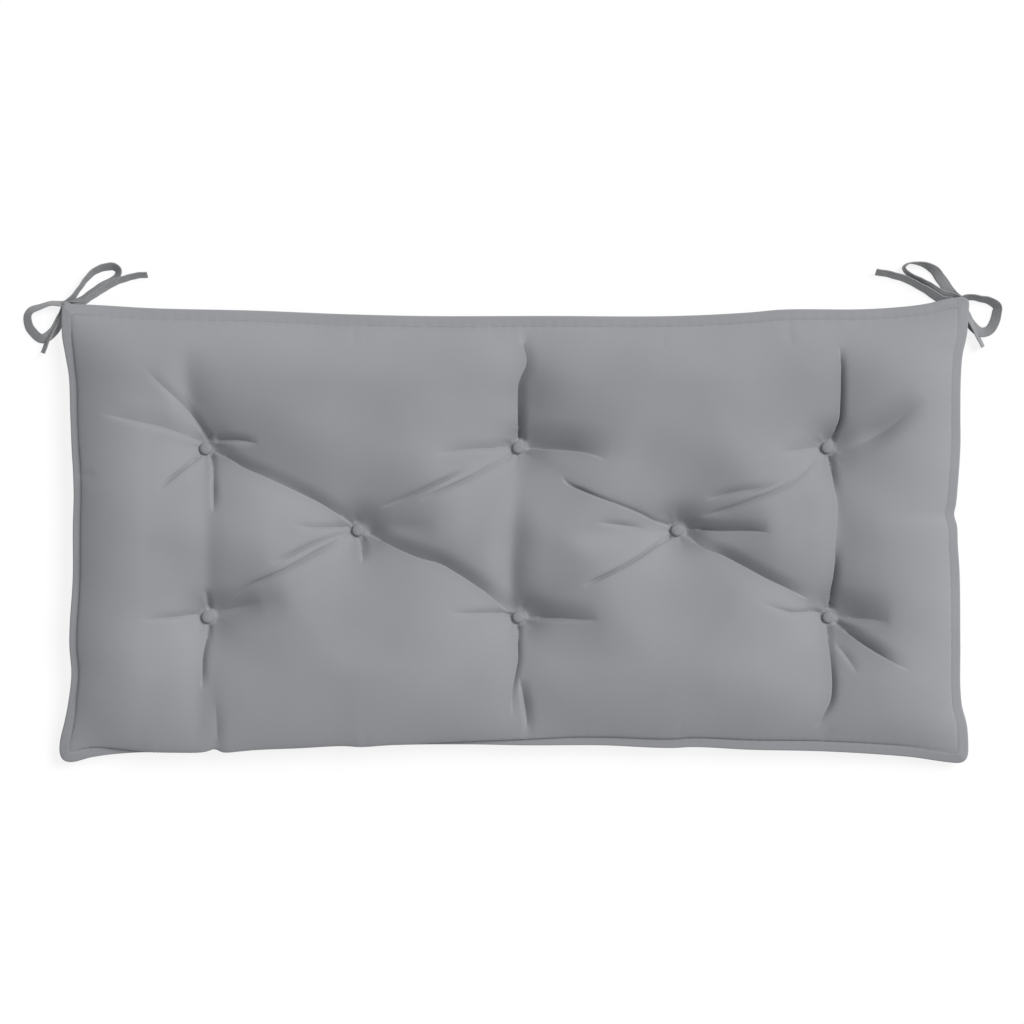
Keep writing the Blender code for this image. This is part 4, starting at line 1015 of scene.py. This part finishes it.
def spun_polyester(name, grey):
    """Spun polyester thread: matt, with the darker lines of its twist painted on as the shade in
    its grooves.
    """
    material, tree, shader = principled(
        name, {"Roughness": 0.8, "IOR": POLYESTER_IOR, "Specular IOR Level": SPUN_GLOSS})
    cloth = add_node(tree, "UVMap", {"uv_map": "cloth"}).outputs["UV"]
    twist = add_node(tree, "TexWave", {"wave_type": "BANDS", "bands_direction": "DIAGONAL",
                                       "Scale": TWIST_SCALE}, {"Vector": cloth})
    tone = add_node(tree, "ValToRGB", (), {0: twist.outputs["Color"]})
    # the ramp's darker end is painted shade for the grooves between the plies
    tone.color_ramp.elements[0].color = [c * TWIST_GROOVE_SHADE for c in linear(grey)[:3]] + [1.0]
    tone.color_ramp.elements[1].color = linear(grey)
    tree.links.new(tone.outputs[0], shader.inputs["Base Color"])
    return material


def stitch_row(name, above, material):
    """Stitches along the seam, half sunk into its groove on one face."""
    ring = outline(STITCH_INSET, SEAM_STEP)
    gaps = np.linalg.norm(np.roll(ring, -1, axis=0) - ring, axis=1)
    ends = np.concatenate(([0.0], np.cumsum(gaps)))
    closed = np.vstack((ring, ring[:1]))
    count = round(ends[-1] / STITCH_PITCH)
    middles = (np.arange(count) + 0.5) * ends[-1] / count
    at = (middles[:, None] + [step.along * STITCH_LENGTH for step in STITCH_RINGS]).ravel()

    def on_seam(at):
        return [np.interp(at, ends, closed[:, k], period=ends[-1]) for k in (0, 1)]

    x, y = on_seam(at)
    tangent = np.stack(on_seam(at + SEAM_AHEAD), axis=1) - np.stack((x, y), axis=1)
    tangent /= np.linalg.norm(tangent, axis=1)[:, None]
    face_height = top_height if above else underside_height
    height = face_height(x, y, np.full_like(x, STITCH_INSET))
    points, cloth, faces = [], [], []
    for k, step in zip(range(len(at)), STITCH_RINGS * count):
        lift = (THREAD_LIFT + step.depth) * THREAD_RADIUS * (1.0 if above else -1.0)
        for s in range(THREAD_SIDES):
            turn = 2 * math.pi * s / THREAD_SIDES
            out = step.radius * THREAD_RADIUS * math.cos(turn)
            points.append((x[k] - tangent[k, 1] * out, y[k] + tangent[k, 0] * out,
                           height[k] + lift + step.radius * THREAD_RADIUS * math.sin(turn)))
            cloth.append((at[k], s))
    for first in range(0, len(points), len(STITCH_RINGS) * THREAD_SIDES):
        last = first + (len(STITCH_RINGS) - 1) * THREAD_SIDES
        faces.append(tuple(range(first, first + THREAD_SIDES)))
        faces.append(tuple(range(last, last + THREAD_SIDES))[::-1])
        faces += joined_rings(len(STITCH_RINGS), THREAD_SIDES, first, inward=True)
    return add_piece(name, points, faces, cloth, material)


thread = spun_polyester("spun_polyester_thread", THREAD_GREY)
stitch_row("topstitching_top", True, thread)
stitch_row("topstitching_underside", False, thread)

# ---------------------------------------------------------------- buttons
# Eight covered buttons: a domed steel or plastic shell of 13.6 mm, over which a disc of the
# cover's own cloth is gathered. A cord through the filling pulls each one into the face.
BUTTON_RADIUS = 6.8
BUTTON_HEIGHT = 4.4
BUTTON_LIFT = 0.3
BUTTON_FOLDS = 11
FOLD_POINTS = 6
BUTTON_PLEAT = 0.045  # half a pleat's depth, as a share of the radius
BUTTON_GREY = "#96979b"
BUTTON_SHADE = "#8a8b8f"
ButtonRing = namedtuple("ButtonRing", "radius height fold")  # shares; how deep its pleats are
BUTTON_PROFILE = (
    ButtonRing(0.30, 0.00, 0.0), ButtonRing(0.62, 0.01, 0.6), ButtonRing(0.82, 0.06, 1.0),
    ButtonRing(0.94, 0.18, 0.9), ButtonRing(1.00, 0.34, 0.6), ButtonRing(0.985, 0.48, 0.35),
    ButtonRing(0.93, 0.62, 0.2), ButtonRing(0.83, 0.75, 0.1), ButtonRing(0.69, 0.86, 0.0),
    ButtonRing(0.52, 0.935, 0.0), ButtonRing(0.34, 0.978, 0.0), ButtonRing(0.16, 0.996, 0.0))


def covered_button(k, tuft, material):
    """A domed button with the gathers of its cloth round its lower side."""
    sides = FOLD_POINTS * BUTTON_FOLDS
    middle = np.array([[tuft.x], [tuft.y], [DEEP_INSIDE]], float)
    seat = float(top_height(*middle)[0]) + BUTTON_LIFT
    points = [(tuft.x, tuft.y, seat)]
    cloth = [(0.0, 0.0)]
    reach = 0.0
    before = (0.0, 0.0)
    for step in BUTTON_PROFILE:
        radius, height = step.radius * BUTTON_RADIUS, step.height * BUTTON_HEIGHT
        reach += math.dist((radius, height), before)
        before = (radius, height)
        for s in range(sides):
            turn = 2 * math.pi * s / sides
            pleat = 1.0 - BUTTON_PLEAT * step.fold * (1.0 - math.cos(BUTTON_FOLDS * turn + k))
            points.append((tuft.x + radius * pleat * math.cos(turn),
                           tuft.y + radius * pleat * math.sin(turn), seat + height))
            cloth.append((reach * math.cos(turn), reach * math.sin(turn)))
    points.append((tuft.x, tuft.y, seat + BUTTON_HEIGHT))
    cloth.append((0.0, 0.0))
    top = len(points) - 1
    faces = [(0, 1 + (s + 1) % sides, 1 + s) for s in range(sides)]
    faces += joined_rings(len(BUTTON_PROFILE), sides, first=1)
    faces += [(top - sides + s, top - sides + (s + 1) % sides, top) for s in range(sides)]
    piece = add_piece(f"covered_button_{k}", points, faces, cloth, material)
    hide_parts(f"button_{k}")
    return piece


button_cloth = woven_polyester("button_woven_polyester", BUTTON_GREY, BUTTON_SHADE,
                               pitch=WEAVE_PITCH, relief=0.03, roughness=0.85)
for k, tuft in enumerate(TUFTS, 1):
    covered_button(k, tuft, button_cloth)

# ---------------------------------------------------------------- floor and light
# A white sweep, lit so evenly that it stays nearly white under the cushion, and one broad
# soft light from the upper right, which stands about 46 degrees above the floor.
FLOOR_SIZE = 12.0
FLOOR_WHITE = "#fdfdfd"
FLOOR_GLOW = 0.84
PAPER_GREYS = ("#767676", "#797979")  # of its uneven face, under the glow
PAPER_CLOUDS = 40.0  # of the unevenness, along each side of the floor
KEY_FROM = (0.59, 0.36, 0.72)
KEY_STRENGTH = 2.55
KEY_SOFTNESS = 30.0
ROOM_GREY = "#a6a6a6"

floor_mesh = bpy.data.meshes.new("floor")
half = FLOOR_SIZE / 2
floor_mesh.from_pydata([(-half, -half, 0), (half, -half, 0), (half, half, 0), (-half, half, 0)],
                       [], [(0, 1, 2, 3)])
floor = add_object("floor", floor_mesh)
paper, tree, shader = principled("matt_white_paper", {
    "Roughness": 1.0, "Specular IOR Level": 0.0, "Emission Color": linear(FLOOR_WHITE),
    "Emission Strength": FLOOR_GLOW})
grain = add_node(tree, "TexNoise", {"Scale": PAPER_CLOUDS, "Detail": 3.0})
tone = add_node(tree, "ValToRGB", (), {0: grain})
for stop, grey in zip(tone.color_ramp.elements, PAPER_GREYS):
    stop.color = linear(grey)
tree.links.new(tone.outputs[0], shader.inputs["Base Color"])
floor_mesh.materials.append(paper)

key = add_object("broad_soft_light", bpy.data.lights.new("broad_soft_light", "SUN"))
key.data.energy = KEY_STRENGTH
key.data.angle = math.radians(KEY_SOFTNESS)
key.rotation_mode = "QUATERNION"
key.rotation_quaternion = Vector(KEY_FROM).to_track_quat("Z", "Y")

world = bpy.data.worlds.new("pale_room")
world.use_nodes = True
backdrop = world.node_tree.nodes["Background"]
backdrop.inputs["Color"].default_value = linear(ROOM_GREY)
backdrop.inputs["Strength"].default_value = 1.0
bpy.context.scene.world = world
bpy.context.scene.view_settings.view_transform = "Standard"
